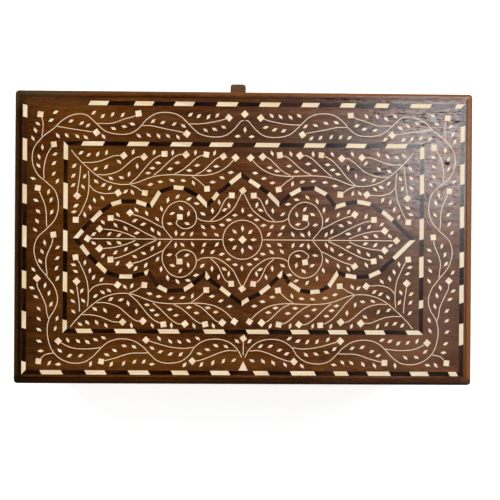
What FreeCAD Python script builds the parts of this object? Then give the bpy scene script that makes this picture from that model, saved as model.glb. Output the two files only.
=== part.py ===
"""Bone inlay box: a flat lidded wooden box, its lid inlaid with bone and ebony.

Millimetres, +Z up. The origin is the centre of the underside, the front with the thumb tab
faces -Y, and the hinges run along the back, at +Y.
"""
import FreeCAD, Part
import math
import os
import random
import re
import Sketcher

doc = FreeCAD.newDocument("BoneInlayBox")

# Driving sizes in millimetres, degrees and counts
DRIVING_SIZES = (
    ("lid_length", "396"),
    ("lid_width", "253"),
    ("lid_overhang", "3"),
    ("lid_gap", "0.3"),
    ("lid_corner_radius", "4.5"),
    ("wall_thickness", "12"),
    ("wall_height", "86"),
    ("floor_thickness", "9"),
    ("rail_height", "22"),
    ("board_thickness", "9"),
    ("moulding_width", "6.2"),
    ("moulding_round", "2.3"),
    ("quirk_inset", "4.9"),
    ("quirk_width", "0.6"),
    ("quirk_depth", "0.6"),
    ("plinth_height", "16"),
    ("plinth_projection", "5"),
    ("plinth_round", "4"),
    ("wall_tails", "4"),
    ("rail_tails", "1"),
    ("lining_thickness", "4"),
    ("lining_rise", "5"),
    ("lining_clearance", "0.5"),
    ("tab_width", "13.3"),
    ("tab_projection", "7.3"),
    ("tab_thickness", "4.6"),
    ("tab_offset", "5.9"),
    ("tab_corner", "2.5"),
    ("tab_chamfer", "0.9"),
    ("tenon_width", "8"),
    ("tenon_length", "3.6"),
    ("tenon_thickness", "2.6"),
    ("hinge_spread", "120"),
    ("hinge_length", "38"),
    ("hinge_inset", "3.5"),
    ("leaf_thickness", "1.2"),
    ("leaf_reach", "7.8"),
    ("knuckle_radius", "2.5"),
    ("knuckle_clearance", "0.4"),
    ("knuckle_play", "0.3"),
    ("knuckle_count", "5"),
    ("pin_radius", "1.25"),
    ("pin_clearance", "0.05"),
    ("stop_angle", "50.5"),
    ("screw_head_radius", "1.9"),
    ("screw_radius", "0.9"),
    ("screw_length", "9"),
    ("screw_spacing", "13"),
    ("screw_clearance", "0.05"),
    ("slot_width", "0.5"),
    ("slot_depth", "0.4"),
    ("nail_radius", "0.9"),
    ("nail_head_radius", "1.8"),
    ("nail_head_height", "0.8"),
    ("nail_length", "26"),
    ("nail_end_inset", "45"),
    ("overrun", "1"),
    ("inlay_depth", "1.5"),
    ("bar_width", "3.7"),
    ("bar_slant", "2"),
    ("side_margin", "7"),
    ("front_margin", "8.9"),
    ("back_margin", "8.1"),
    ("seam_margin", "0.6"),
    ("inner_side_inset", "44"),
    ("inner_end_inset", "45.7"),
    ("cartouche_bar_width", "3.5"),
    ("stem_width", "0.6"),
    ("petal_length", "5.7"),
    ("petal_width", "2.8"),
    ("petal_tilt", "40"),
    ("petal_turn", "8"),
    ("petal_scatter", "0.4"),
    ("flower_side", "5.1"),
    ("flower_turn", "12"),
    ("medallion_radius", "17"),
    ("medallion_petal_radius", "9.6"),
    ("triangle_width", "8"),
    ("triangle_height", "8.2"),
    ("piece_gap", "0.3"),
    ("stem_gap", "0.2"),
    ("curve_tolerance", "0.12"),
    ("curve_step", "0.3"),
    ("cell_side", "8"),
)

# Sizes worked out from the driving ones
DERIVED_SIZES = (
    ("case_length", "lid_length - 2 * lid_overhang"),
    ("case_width", "lid_width - 2 * lid_overhang"),
    ("rail_thickness", "wall_thickness - lining_clearance"),
    ("rim", "floor_thickness + wall_height"),
    ("lid_base", "rim + lid_gap"),
    ("lid_seat", "lid_base + rail_height"),
    ("lid_top", "lid_seat + board_thickness"),
    ("inside_length", "case_length - 2 * wall_thickness"),
    ("inside_width", "case_width - 2 * wall_thickness"),
    ("board_length", "lid_length - 2 * moulding_width"),
    ("board_width", "lid_width - 2 * moulding_width"),
    ("board_seam", "lid_width / 2 - inner_end_inset + bar_width / 2 + seam_margin"),
    ("axis_place", "case_width / 2 - hinge_inset"),
    ("axis_height", "rim + lid_gap / 2"),
    ("relief_radius", "knuckle_radius + knuckle_clearance"),
    ("bore_radius", "pin_radius + pin_clearance"),
    ("knuckle_length", "(hinge_length - (knuckle_count - 1) * knuckle_play) / knuckle_count"),
    ("knuckle_pitch", "knuckle_length + knuckle_play"),
    ("screw_line", "axis_place - (relief_radius + leaf_reach) / 2"),
)

# Shares of a joint's height that a dovetail takes at its end and at its root
TAIL_END_SHARE = "0.62"
TAIL_ROOT_SHARE = "0.46"

# Two points closer than this count as one
TOUCHING = 0.000001

sheet = doc.addObject("Spreadsheet::Sheet", "Sizes")
worked_out = doc.addObject("App::VarSet", "WorkedOut")
HOLDERS = {}
NODES = []


def held(word):
    """Where a size is kept, or the word itself, such as tan."""
    return f"{HOLDERS[word].Name}.{word}" if word in HOLDERS else word


def linked(formula):
    """A formula in plain words, with each word pointed at its size."""
    return re.sub(r"[a-z_]+", lambda found: held(found.group(0)), formula)


def size(word):
    """One of the sizes as a number, for shapes that are drawn point by point."""
    return float(getattr(HOLDERS[word], word))


for row, (word, text) in enumerate(DRIVING_SIZES, start=1):
    sheet.set(f"A{row}", word)
    sheet.set(f"B{row}", text)
    sheet.setAlias(f"B{row}", word)
    HOLDERS[word] = sheet
doc.recompute()
for word, formula in DERIVED_SIZES:
    worked_out.addProperty("App::PropertyFloat", word)
    worked_out.setExpression(word, linked(formula))
    HOLDERS[word] = worked_out
doc.recompute()


def bind(item, formulas):
    """Binds properties of an object to formulas."""
    for name, formula in formulas.items():
        item.setExpression(name, linked(formula))


def move(item, x="0", y="0", z="0"):
    """Places an object at formulas."""
    bind(item, {".Placement.Base.x": x, ".Placement.Base.y": y, ".Placement.Base.z": z})


def quarter_turn(item, count):
    """Turns an object about the upright axis through the origin."""
    item.Placement.Rotation = FreeCAD.Rotation(FreeCAD.Vector(0, 0, 1), 90 * count)


def lay_along(item, along):
    """Turns an upright piece to lie along X, or to point down."""
    if along == "x":
        item.Placement.Rotation = FreeCAD.Rotation(FreeCAD.Vector(0, 1, 0), 90)
    if along == "down":
        item.Placement.Rotation = FreeCAD.Rotation(FreeCAD.Vector(1, 0, 0), 180)


def box(name, low, high):
    """A block between two corners, each given as three formulas."""
    item = doc.addObject("Part::Box", name)
    spans = [f"({top}) - ({bottom})" for bottom, top in zip(low, high)]
    bind(item, {"Length": spans[0], "Width": spans[1], "Height": spans[2]})
    move(item, *low)
    return item


def rod(name, radius, length, at, along="up"):
    """A round bar from a point, up, down or along X."""
    item = doc.addObject("Part::Cylinder", name)
    lay_along(item, along)
    bind(item, {"Radius": radius, "Height": length})
    move(item, *at)
    return item


def cone(name, first_radius, last_radius, length, at, along="up"):
    """A tapered round bar from a point, up or down."""
    item = doc.addObject("Part::Cone", name)
    lay_along(item, along)
    bind(item, {"Radius1": first_radius, "Radius2": last_radius, "Height": length})
    move(item, *at)
    return item


def wedge(name, y, near_x, far_x, near_z, far_z, turns=0):
    """A block that tapers from its near face to its far face, turned about the upright axis."""
    item = doc.addObject("Part::Wedge", name)
    bind(item, {
        "Ymin": y[0], "Ymax": y[1],
        "Xmin": near_x[0], "Xmax": near_x[1], "X2min": far_x[0], "X2max": far_x[1],
        "Zmin": near_z[0], "Zmax": near_z[1], "Z2min": far_z[0], "Z2max": far_z[1],
    })
    quarter_turn(item, turns)
    return item


def fuse(name, parts):
    """Joins pieces of one material into one solid."""
    item = doc.addObject("Part::MultiFuse", name)
    item.Shapes = list(parts)
    item.Refine = True
    return item


def group(name, parts):
    """Separate solids that share one object."""
    item = doc.addObject("Part::Compound", name)
    item.Links = list(parts)
    return item


def cut(name, base, tools):
    """Takes a list of tools off a piece."""
    tools = list(tools)
    item = doc.addObject("Part::Cut", name)
    item.Base = base
    item.Tool = tools[0] if len(tools) == 1 else group(f"{name}_tools", tools)
    return item


def drawn(name, shape):
    """An object whose shape is drawn point by point."""
    item = doc.addObject("Part::Feature", name)
    item.Shape = shape
    return item


def node(item, label):
    """Gives a finished piece its name."""
    item.Label = label
    NODES.append(item)
    return item


def rectangle_sketch(body, name, width, depth):
    """A rectangle about the origin, on a body's level plane."""
    plane = next(part for part in body.Origin.OriginFeatures if part.Role == "XY_Plane")
    sketch = body.newObject("Sketcher::SketchObject", name)
    sketch.AttachmentSupport = [(plane, "")]
    sketch.MapMode = "FlatFace"
    corners = [FreeCAD.Vector(x, y) for x, y in ((-1, -1), (1, -1), (1, 1), (-1, 1))]
    for start, end in zip(corners, corners[1:] + corners[:1]):
        sketch.addGeometry(Part.LineSegment(start, end))
    for edge in range(4):
        sketch.addConstraint(Sketcher.Constraint("Coincident", edge, 2, (edge + 1) % 4, 1))
        kind = "Vertical" if edge % 2 else "Horizontal"
        sketch.addConstraint(Sketcher.Constraint(kind, edge))
    sketch.addConstraint(Sketcher.Constraint("Symmetric", 0, 1, 1, 2, -1, 1))
    for edge, kind, formula in ((0, "DistanceX", width), (1, "DistanceY", depth)):
        index = sketch.addConstraint(Sketcher.Constraint(kind, edge, 1, edge, 2, 2))
        sketch.setExpression(f"Constraints[{index}]", linked(formula))
    return sketch


def slab(name, width, depth, height):
    """A body with a level rectangle padded upwards."""
    body = doc.addObject("PartDesign::Body", name)
    pad = body.newObject("PartDesign::Pad", f"{name}_pad")
    pad.Profile = rectangle_sketch(body, f"{name}_outline", width, depth)
    bind(pad, {"Length": height})
    doc.recompute()
    return body, pad


def dress(body, kind, base, wanted, prop, formula):
    """A fillet or chamfer on the edges of a feature that a test picks."""
    edges = [f"Edge{index}" for index, edge in enumerate(base.Shape.Edges, start=1) if wanted(edge)]
    feature = body.newObject(f"PartDesign::{kind}", f"{body.Name}_{kind.lower()}")
    feature.Base = (base, edges)
    bind(feature, {prop: formula})
    doc.recompute()
    return feature


def is_upright(edge):
    """Whether an edge runs straight up."""
    ends = [(vertex.X, vertex.Y) for vertex in edge.Vertexes]
    return len(ends) == 2 and math.dist(*ends) < TOUCHING


def is_level(edge):
    """Whether an edge lies in one level plane."""
    bounds = edge.BoundBox
    return bounds.ZMax - bounds.ZMin < TOUCHING


def make_tail(name, index, side_sign, turns, joint):
    """One dovetail at a corner: wide at the outer face, narrow at its root."""
    pitch = f"({joint['top']} - {joint['bottom']}) / {joint['tails']}"
    middle = f"{joint['bottom']} + ({index} + 1 / 2) * {pitch}"
    end = f"{pitch} * {TAIL_END_SHARE} / 2"
    root = f"{pitch} * {TAIL_ROOT_SHARE} / 2"
    thick = joint["thickness"]
    inner, outer = f"(case_length / 2 - {thick})", "case_length / 2"
    across = (inner, outer) if side_sign > 0 else (f"-{outer}", f"-{inner}")
    deep = ("-case_width / 2", f"-(case_width / 2 - {thick})")
    near = (f"{middle} - {end}", f"{middle} + {end}")
    far = (f"{middle} - {root}", f"{middle} + {root}")
    return wedge(name, deep, across, across, near, far, turns)


def make_frame(prefix, joint):
    """Four boards dovetailed at the corners, before their other cuts."""
    tails = {}
    for end, turns, sides in (("front", 0, ("left", "right")), ("back", 2, ("right", "left"))):
        for side, sign in zip(sides, (-1, 1)):
            tails[end, side] = [
                make_tail(f"{prefix}_{end}_{side}_tail_{index}", index, sign, turns, joint)
                for index in range(int(size(joint["tails"])))]
    low, high, thick = joint["bottom"], joint["top"], joint["thickness"]
    half_length, half_width = "case_length / 2", "case_width / 2"
    inner_length, inner_width = f"(case_length / 2 - {thick})", f"(case_width / 2 - {thick})"
    spans = {
        "front": ((f"-{half_length}", f"-{half_width}", low), (half_length, f"-{inner_width}", high)),
        "back": ((f"-{half_length}", inner_width, low), (half_length, half_width, high)),
        "left": ((f"-{half_length}", f"-{inner_width}", low), (f"-{inner_length}", inner_width, high)),
        "right": ((inner_length, f"-{inner_width}", low), (half_length, inner_width, high)),
    }
    boards = {}
    for side, (start, finish) in spans.items():
        blank = box(f"{prefix}_{side}_blank", start, finish)
        if side in ("front", "back"):
            sockets = tails[side, "left"] + tails[side, "right"]
            boards[side] = cut(f"{prefix}_{side}_cut", blank, sockets)
        else:
            own_tails = tails["front", side] + tails["back", side]
            boards[side] = fuse(f"{prefix}_{side}_tailed", [blank] + own_tails)
    return boards


def make_hinge_groove():
    """The open V along the back, whose flanks meet when the lid is fully open."""
    reach = "(case_width / 2 + overrun)"
    rise = f"({reach} - axis_place) * tan(stop_angle)"
    run = ("-(case_length / 2 + overrun)", "case_length / 2 + overrun")
    near = (f"axis_height - {rise}", f"axis_height + {rise}")
    return wedge("hinge_groove", (f"-{reach}", "-axis_place"), run, run, near,
                 ("axis_height", "axis_height"), turns=2)


def make_screw(name, x, surface, way):
    """A countersunk slotted screw, and the bores for it in the leaf and in the wood."""
    sign = "-" if way == "down" else "+"
    at = (x, "screw_line", surface)
    below = (x, "screw_line", f"{surface} {sign} leaf_thickness")
    head = cone(f"{name}_head", "screw_head_radius", "screw_radius", "leaf_thickness", at, way)
    shank = rod(f"{name}_shank", "screw_radius", "screw_length", below, way)
    levels = (surface, f"{surface} {sign} slot_depth")
    bottom, top = levels if way == "up" else levels[::-1]
    slot = box(f"{name}_slot", (f"{x} - screw_head_radius", "screw_line - slot_width / 2", bottom),
               (f"{x} + screw_head_radius", "screw_line + slot_width / 2", top))
    screw = cut(name, fuse(f"{name}_whole", [head, shank]), [slot])
    sink = cone(f"{name}_sink", "screw_head_radius + screw_clearance",
                "screw_radius + screw_clearance", "leaf_thickness", at, way)
    bore = rod(f"{name}_bore", "screw_radius + screw_clearance",
               "screw_length + screw_clearance", below, way)
    return screw, sink, bore


def make_leaf(name, x, levels, knuckles, sinks):
    """One leaf of a butt hinge: its plate, its knuckles on the axis and its screw holes."""
    low, high = levels
    start = f"({x} - hinge_length / 2)"
    plate = box(f"{name}_plate", (start, "axis_place - leaf_reach", low),
                (f"{x} + hinge_length / 2", "axis_place - relief_radius", high))
    parts = [plate]
    for index in knuckles:
        knuckle_start = f"{start} + {index} * knuckle_pitch"
        knuckle_end = f"{knuckle_start} + knuckle_length"
        parts.append(box(f"{name}_strap_{index}", (knuckle_start, "axis_place - relief_radius", low),
                         (knuckle_end, "axis_place", high)))
        parts.append(rod(f"{name}_knuckle_{index}", "knuckle_radius", "knuckle_length",
                         (knuckle_start, "axis_place", "axis_height"), "x"))
    bore = rod(f"{name}_bore", "bore_radius", "hinge_length", (start, "axis_place", "axis_height"), "x")
    return cut(f"{name}_cut", fuse(f"{name}_whole", parts), [bore] + sinks)


def make_hinge(side, sign):
    """A brass butt hinge let into the wall and the lid, with what it needs cut in the wood."""
    x = f"{sign}hinge_spread"
    start = f"({x} - hinge_length / 2)"
    pin = rod(f"{side}_pin", "pin_radius", "hinge_length", (start, "axis_place", "axis_height"), "x")
    node(pin, f"{side}_hinge_pin")
    relief = rod(f"{side}_relief", "relief_radius", "hinge_length + 2 * knuckle_play",
                 (f"{start} - knuckle_play", "axis_place", "axis_height"), "x")
    knuckles = range(int(size("knuckle_count")))
    sides = {
        "case": (("rim - leaf_thickness", "rim"), "rim", "down", knuckles[0::2]),
        "lid": (("lid_base", "lid_base + leaf_thickness"), "lid_base", "up", knuckles[1::2]),
    }
    screws, wood_cuts = {}, {}
    for owner, (levels, surface, way, own_knuckles) in sides.items():
        made = [make_screw(f"{side}_{owner}_screw_{place}", f"({x} + {place - 1} * screw_spacing)",
                           surface, way) for place in range(3)]
        leaf = make_leaf(f"{side}_{owner}_leaf", x, levels, own_knuckles, [each[1] for each in made])
        node(leaf, f"{side}_hinge_{owner}_leaf")
        mortise = box(f"{side}_{owner}_mortise",
                      (f"{start} - knuckle_play", "case_width / 2 - wall_thickness", levels[0]),
                      (f"{x} + hinge_length / 2 + knuckle_play", "axis_place", levels[1]))
        screws[owner] = [each[0] for each in made]
        wood_cuts[owner] = [relief, mortise] + [each[2] for each in made]
    return screws, wood_cuts


def make_nails():
    """Nails that hold the floor to the walls, driven up from below."""
    line_y, line_x = "(case_width - wall_thickness) / 2", "(case_length - wall_thickness) / 2"
    end_x, end_y = "(case_length / 2 - nail_end_inset)", "(case_width / 2 - nail_end_inset)"
    places = {}
    for sign in ("-", ""):
        wall = "front" if sign else "back"
        places[wall] = [(f"{step} * {end_x}", f"{sign}{line_y}") for step in ("-1", "-1 / 3", "1 / 3", "1")]
        wall = "left" if sign else "right"
        places[wall] = [(f"{sign}{line_x}", f"{step} * {end_y}") for step in ("-1", "1")]
    nails, bores = [], {}
    for wall, spots in places.items():
        bores[wall] = []
        for index, (x, y) in enumerate(spots):
            name = f"{wall}_nail_{index}"
            head = rod(f"{name}_head", "nail_head_radius", "nail_head_height", (x, y, "0"))
            shank = rod(f"{name}_shank", "nail_radius", "nail_length - nail_head_height",
                        (x, y, "nail_head_height"))
            nails.append(fuse(name, [head, shank]))
            sink = rod(f"{name}_sink", "nail_head_radius + screw_clearance",
                       "nail_head_height", (x, y, "0"))
            bore = rod(f"{name}_bore", "nail_radius + screw_clearance",
                       "nail_length + screw_clearance", (x, y, "0"))
            bores[wall].append((sink, bore))
    return nails, bores


def make_strip(name, side, outer, widths, levels, round_radius):
    """A mitred strip along one side, with a quarter round along its upper outer edge."""
    turns, along, out = {
        "back": (0, 0, 1), "left": (1, 1, 0), "front": (2, 0, 1), "right": (3, 1, 0)}[side]
    along, out = outer[along], outer[out]
    low, high = levels
    blank = wedge(f"{name}_blank", (f"{out} - {widths}", out),
                  (f"-({along} - {widths})", f"{along} - {widths}"), (f"-({along})", along),
                  (low, high), (low, high))
    run = (f"-({along} + overrun)", f"{along} + overrun")
    corner = box(f"{name}_corner", (run[0], f"{out} - {round_radius}", f"{high} - {round_radius}"),
                 (run[1], f"{out} + overrun", f"{high} + overrun"))
    core = rod(f"{name}_core", round_radius, f"2 * ({along} + overrun)",
               (run[0], f"{out} - {round_radius}", f"{high} - {round_radius}"), "x")
    return blank, cut(f"{name}_waste", corner, [core]), turns


def make_plinth():
    """The four mitred strips round the foot of the case."""
    outer = ("(case_length / 2 + plinth_projection)", "(case_width / 2 + plinth_projection)")
    for side in ("front", "back", "left", "right"):
        name = f"plinth_{side}"
        blank, waste, turns = make_strip(f"{name}_strip", side, outer, "plinth_projection",
                                         ("0", "plinth_height"), "plinth_round")
        strip = cut(f"{name}_cut", blank, [waste])
        quarter_turn(strip, turns)
        node(strip, name)


def make_lid_moulding():
    """The four mitred strips round the lid's top, with a groove inside their round edge."""
    outline, pad = slab("lid_corners", "lid_length", "lid_width", "board_thickness")
    dress(outline, "Fillet", pad, is_upright, "Radius", "lid_corner_radius")
    move(outline, z="lid_seat")
    outer = ("lid_length / 2", "lid_width / 2")
    for side in ("front", "back", "left", "right"):
        name = f"lid_moulding_{side}"
        blank, waste, turns = make_strip(f"{name}_strip", side, outer, "moulding_width",
                                         ("lid_seat", "lid_top"), "moulding_round")
        along, out = outer if side in ("front", "back") else outer[::-1]
        groove = box(f"{name}_groove",
                     (f"-({along})", f"{out} - quirk_inset - quirk_width", "lid_top - quirk_depth"),
                     (along, f"{out} - quirk_inset", "lid_top + overrun"))
        strip = cut(f"{name}_cut", blank, [waste, groove])
        quarter_turn(strip, turns)
        rounded = doc.addObject("Part::Common", f"{name}_rounded")
        rounded.Base = outline
        rounded.Tool = strip
        if side == "front":
            rounded = cut(f"{name}_mortised", rounded, [make_tab()])
        node(rounded, name)


def make_tab():
    """The thumb tab that lifts the lid, and the mortise for its tenon."""
    body, pad = slab("thumb_tab", "tab_width", "tab_projection", "tab_thickness")
    half = size("tab_projection") / 2
    rounded = dress(body, "Fillet", pad,
                    lambda edge: is_upright(edge) and edge.CenterOfMass.y < 0, "Radius", "tab_corner")
    dress(body, "Chamfer", rounded,
          lambda edge: is_level(edge) and edge.CenterOfMass.y < half - TOUCHING, "Size", "tab_chamfer")
    tenon = body.newObject("PartDesign::AdditiveBox", "thumb_tab_tenon")
    bind(tenon, {"Length": "tenon_width", "Width": "tenon_length", "Height": "tenon_thickness"})
    middle = "(tab_thickness - tenon_thickness) / 2"
    move(tenon, "-tenon_width / 2", "tab_projection / 2", middle)
    level = "lid_seat + (board_thickness - moulding_round - tab_thickness) / 2"
    move(body, "tab_offset", "-(lid_width + tab_projection) / 2", level)
    node(body, "thumb_tab")
    bottom = f"{level} + {middle}"
    return box("tab_mortise", ("tab_offset - tenon_width / 2", "-lid_width / 2", bottom),
               ("tab_offset + tenon_width / 2", "-lid_width / 2 + tenon_length",
                f"{bottom} + tenon_thickness"))


def make_lining():
    """Thin boards inside the walls. Three of them stand above the rim and guide the lid."""
    far_x, far_y = "inside_length / 2", "inside_width / 2"
    near_x, near_y = f"({far_x} - lining_thickness)", f"({far_y} - lining_thickness)"
    raised = "rim + lining_rise"
    low = "floor_thickness"
    spans = {
        "front": ((f"-{far_x}", f"-{far_y}", low), (far_x, f"-{near_y}", raised)),
        "back": ((f"-{far_x}", near_y, low), (far_x, far_y, "rim")),
        "left": ((f"-{far_x}", f"-{near_y}", low), (f"-{near_x}", near_y, raised)),
        "right": ((near_x, f"-{near_y}", low), (far_x, near_y, raised)),
    }
    for side, (start, finish) in spans.items():
        node(box(f"lining_{side}", start, finish), f"lining_{side}")


# The lid's drawing is squared up and seen from above with the front edge at the top. Points are
# counts of its squares across and up from the middle of the lid. The centre lines of the inner
# and the outer border fall on these counts, and a count is stretched to the lid between them.
INNER_LINE_SHARES = (154, 81)
OUTER_LINE_SHARES = (189, 117)

# The middle of the ornament inside the inner border
ORNAMENT_CENTRE_SHARES = (-1.3, -1.2)

# Where each border strip holds bone, seen the same way; the rest of it is ebony
OUTER_BONE_SHARES = {
    "top": ((-134, -118), (-95, -79), (-60.5, -44), (-24, -6.5), (13, 30), (49.5, 64), (83, 95.5),
            (113, 124.5), (143.7, 161.3), (183, 189)),
    "bottom": ((-174.5, -156.2), (-136, -118.7), (-98.5, -81.3), (-61.5, -47.5), (-27.8, -12),
               (9.5, 21.8), (41.5, 62.3), (79, 90.7), (107.8, 127.2), (145.2, 160.6), (178.6, 185.5)),
    "left": ((-117, -107.8), (-79, -64.2), (-44.5, -29.3), (-8.7, 9.7), (28.8, 45.4), (66, 85),
             (104, 115)),
    "right": ((-91.6, -73), (-55, -39.4), (-24, -10.8), (10.4, 28.8), (48.1, 65.7), (85.2, 99.2)),
}
INNER_BONE_SHARES = {
    "top": ((-140, -121.5), (-100.6, -83), (-63.4, -46), (-29.8, -10.5), (9.2, 30), (52, 69.7),
            (88.3, 105), (122.8, 140.5)),
    "bottom": ((-144, -130.7), (-110.8, -93), (-73.3, -55.7), (-34, -16.2), (3, 21.5), (41.5, 56.5),
               (74, 89.6), (105.5, 122.4), (141.6, 154)),
    "left": ((-81, -71.7), (-47.2, -30.2), (-12, 5.8), (24.5, 46.7), (67, 81)),
    "right": ((-59.8, -52.9), (-33, -15), (-0.2, 18), (39.4, 56.3), (69.9, 81)),
}

# The places where the bars of the lobed cartouche meet, from the middle of it: along the back from
# its left end, then along the front from its right end
CARTOUCHE_SHARES = (
    (-143.8, 0.2), (-139, -6), (-132.8, -13.9), (-125.2, -21.4), (-117.5, -28.6), (-106, -32.5),
    (-95, -32.5), (-84.3, -29.8), (-81.3, -28.3), (-72.6, -40.9), (-65, -44.8), (-50.2, -43.7),
    (-42.7, -38.8), (-31.8, -29.8), (-29.1, -34), (-18.8, -41.7), (-10.5, -48.2), (-0.4, -55.4),
    (5.5, -51.4), (15.5, -46.4), (23.7, -39.8), (31.3, -32.4), (34.6, -28.8), (40.9, -37.7),
    (50, -43.8), (59.1, -45.2), (67.1, -44.3), (75.1, -40), (82.7, -28.2), (89.6, -30.4),
    (98.8, -31.9), (110, -31.1), (119.4, -26.8), (131.3, -15.6),
    (147.6, 0.6), (130.2, 17.8), (121, 25.2), (110.8, 31.6), (99.2, 33.8), (89, 31.6), (80.5, 29),
    (72.3, 39.8), (62.3, 45.2), (50, 44.2), (41.2, 39.2), (31.5, 30.8), (22.1, 40.2), (14.5, 45.8),
    (5.5, 51.6), (-1.6, 56.4), (-11, 48.8), (-21.4, 40.2), (-25.8, 34.6), (-31, 29.6), (-39.1, 37.8),
    (-51.1, 44.3), (-59.7, 44.9), (-71.7, 41), (-79.2, 28.9), (-83.3, 29.6), (-91.8, 32.4),
    (-104.9, 32.3), (-113.2, 29.7), (-121.9, 23.5), (-130.1, 15.3), (-137.8, 7.2))

# A stem is what it ends in and its points from the root. The tables of the field inside the
# cartouche and of the corners outside it are one quarter, the border's is its right-hand half.
CENTRE_STEM_SHARES = (
    ("diamond", ((17.8, 0), (75, 0), (133.5, 0))),
    ("square", ((61, 0.9), (64.5, 5), (68, 9.5), (69.3, 14), (69.2, 18), (67.8, 22.5), (63.5, 29),
                (58.5, 32), (53.5, 33), (48.5, 31.7), (43.7, 28), (40.7, 23.5), (39.8, 18),
                (41.3, 13.3), (44.5, 10.5), (48.5, 9.2), (52.5, 9.7), (56, 12), (57.3, 14.5),
                (54.3, 19.3))),
    ("", ((39.5, 18.8), (35.5, 16.5), (29.5, 15.7), (23.5, 16), (18.5, 18), (13.5, 21.5), (8.5, 26),
          (5.5, 31), (2.5, 37), (0, 42.5))),
    ("square", ((74.5, 1), (83.5, 5), (90.5, 9), (98.5, 13), (105.5, 15.8), (110, 16.8), (113.8, 18))),
    ("diamond", ((92.5, 1.3), (98.5, 4), (104.5, 6), (111.5, 7.6), (118, 8.3), (123.3, 8.5))),
    ("diamond", ((68, 9.5), (73.5, 12.2), (80.5, 16), (88.5, 19.5), (93.5, 20.8), (97.2, 22.5))),
    ("square", ((27.5, 16.5), (24, 19.5), (20.5, 23.5), (18.5, 28), (15.8, 33.5), (13.2, 36.3),
                (9.5, 38.3))),
)
CENTRE_FLOWER_SHARES = (("diamond", (0, 42.5)),)
CENTRE_LEAF_SHARES = (
    (0, 25), (60.5, 22.5), (53.5, 27), (46.5, 21.8), (48, 13.7), (63, 13.3), (70.3, 26.3), (64.5, 33.5),
    (56, 36.8), (46.8, 35.3), (39.5, 31), (34.5, 22.5), (26, 25), (20.7, 32.7), (15.5, 25.5),
    (12, 29.8), (6.5, 21.5), (12, 17.2), (17.8, 12.5), (34.5, 10.5), (25.5, 11), (57.5, 5.2),
    (51.5, 4.8), (43.5, 4.6), (32.5, 4.4), (22.4, 4.5), (93, 15.7), (85.5, 12.7), (91.5, 5.3),
    (77.5, 8), (72.3, 4.5), (73.5, 17.5), (83, 22.5), (91.8, 25.3), (120.3, 14.4), (107.2, 21),
    (109.3, 11.8), (101, 9.3), (128, 3.9), (115.3, 3.9), (106.5, 3.1))

CORNER_STEM_SHARES = (
    ("diamond", ((148, 76.5), (144.5, 72), (139, 66), (133, 60.5), (126.5, 55), (120, 51), (114, 48.6),
                 (107.5, 47.2), (100.5, 47), (94, 48), (88.5, 49.8), (82.5, 52.3), (76.5, 54.2),
                 (70, 55.3), (60, 55.9), (50, 55.6), (40, 55.2), (31, 55.8), (24.5, 57.3), (18.5, 60),
                 (13, 63.8), (9, 68), (6.5, 71))),
    ("diamond", ((138, 65.8), (130.5, 65.8), (123.5, 67), (117, 69.5), (111, 71.8), (103, 72))),
    ("diamond", ((125.5, 55.5), (119, 55.2), (111, 57), (105, 60), (99.5, 64.8), (94.5, 69), (90.5, 71),
                 (85.5, 71))),
    ("square", ((98, 47.5), (91, 53.5), (86, 59.5), (81.5, 65), (77.5, 69), (73, 71.8), (67.8, 73.8))),
    ("diamond", ((77, 55.3), (72, 59.2), (67.5, 63.5), (62.5, 68.5), (57.5, 72.2), (53.5, 73.5),
                 (49.3, 73.3))),
    ("square", ((59, 56.5), (53, 59.5), (47.5, 63.8), (42, 69), (37, 72.3), (31.8, 73.5))),
    ("diamond", ((41, 56), (35, 59), (30, 63.5), (25, 68.5), (21.5, 71), (17, 72))),
    ("square", ((97, 46.8), (91.5, 44.5), (88, 42), (84.5, 39.8))),
    ("square", ((44, 54.5), (38.5, 51), (34, 47), (31, 43.8))),
    ("diamond", ((140, 63), (140.3, 57), (141, 51), (142, 45), (142.5, 41.5), (142.8, 37))),
    ("square", ((133.3, 58.5), (132.7, 53), (132.6, 47), (133, 41), (134.3, 34.5), (137, 28),
                (140, 21.5), (143.8, 16.2))),
    ("diamond", ((132.5, 46.5), (128.5, 42), (123.5, 39.8), (118.5, 39), (113.5, 39.2), (107.5, 39.8))),
)
CORNER_LEAF_SHARES = (
    (139.5, 74), (133, 72.3), (125.5, 72.8), (117.3, 74.6), (95, 74.8), (77, 74.8), (61, 75),
    (41.5, 75), (24.8, 74.8), (106.8, 66.5), (118, 61.8), (127, 60.5), (91, 63), (98, 56), (82, 57.3),
    (73.5, 66), (77.8, 61.3), (56.5, 66.2), (62.5, 60.8), (39.5, 64), (46, 59.3), (23, 63),
    (29.3, 59.4), (10.8, 57.8), (80, 47), (71.5, 49.8), (61.3, 51), (51.8, 50.8), (43, 48.8),
    (26, 49.5), (18, 53.3), (95.5, 40.3), (126.3, 49.6), (120, 46.3), (114.5, 44.3), (101, 41.3),
    (113.5, 52.5), (104.8, 53), (145.3, 63), (145.8, 54), (146.5, 46), (136.7, 53.6), (138, 45),
    (128, 33.5), (121, 35.2), (131.8, 27.3), (135.8, 20.8), (143.5, 28.5), (145.5, 23))

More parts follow.
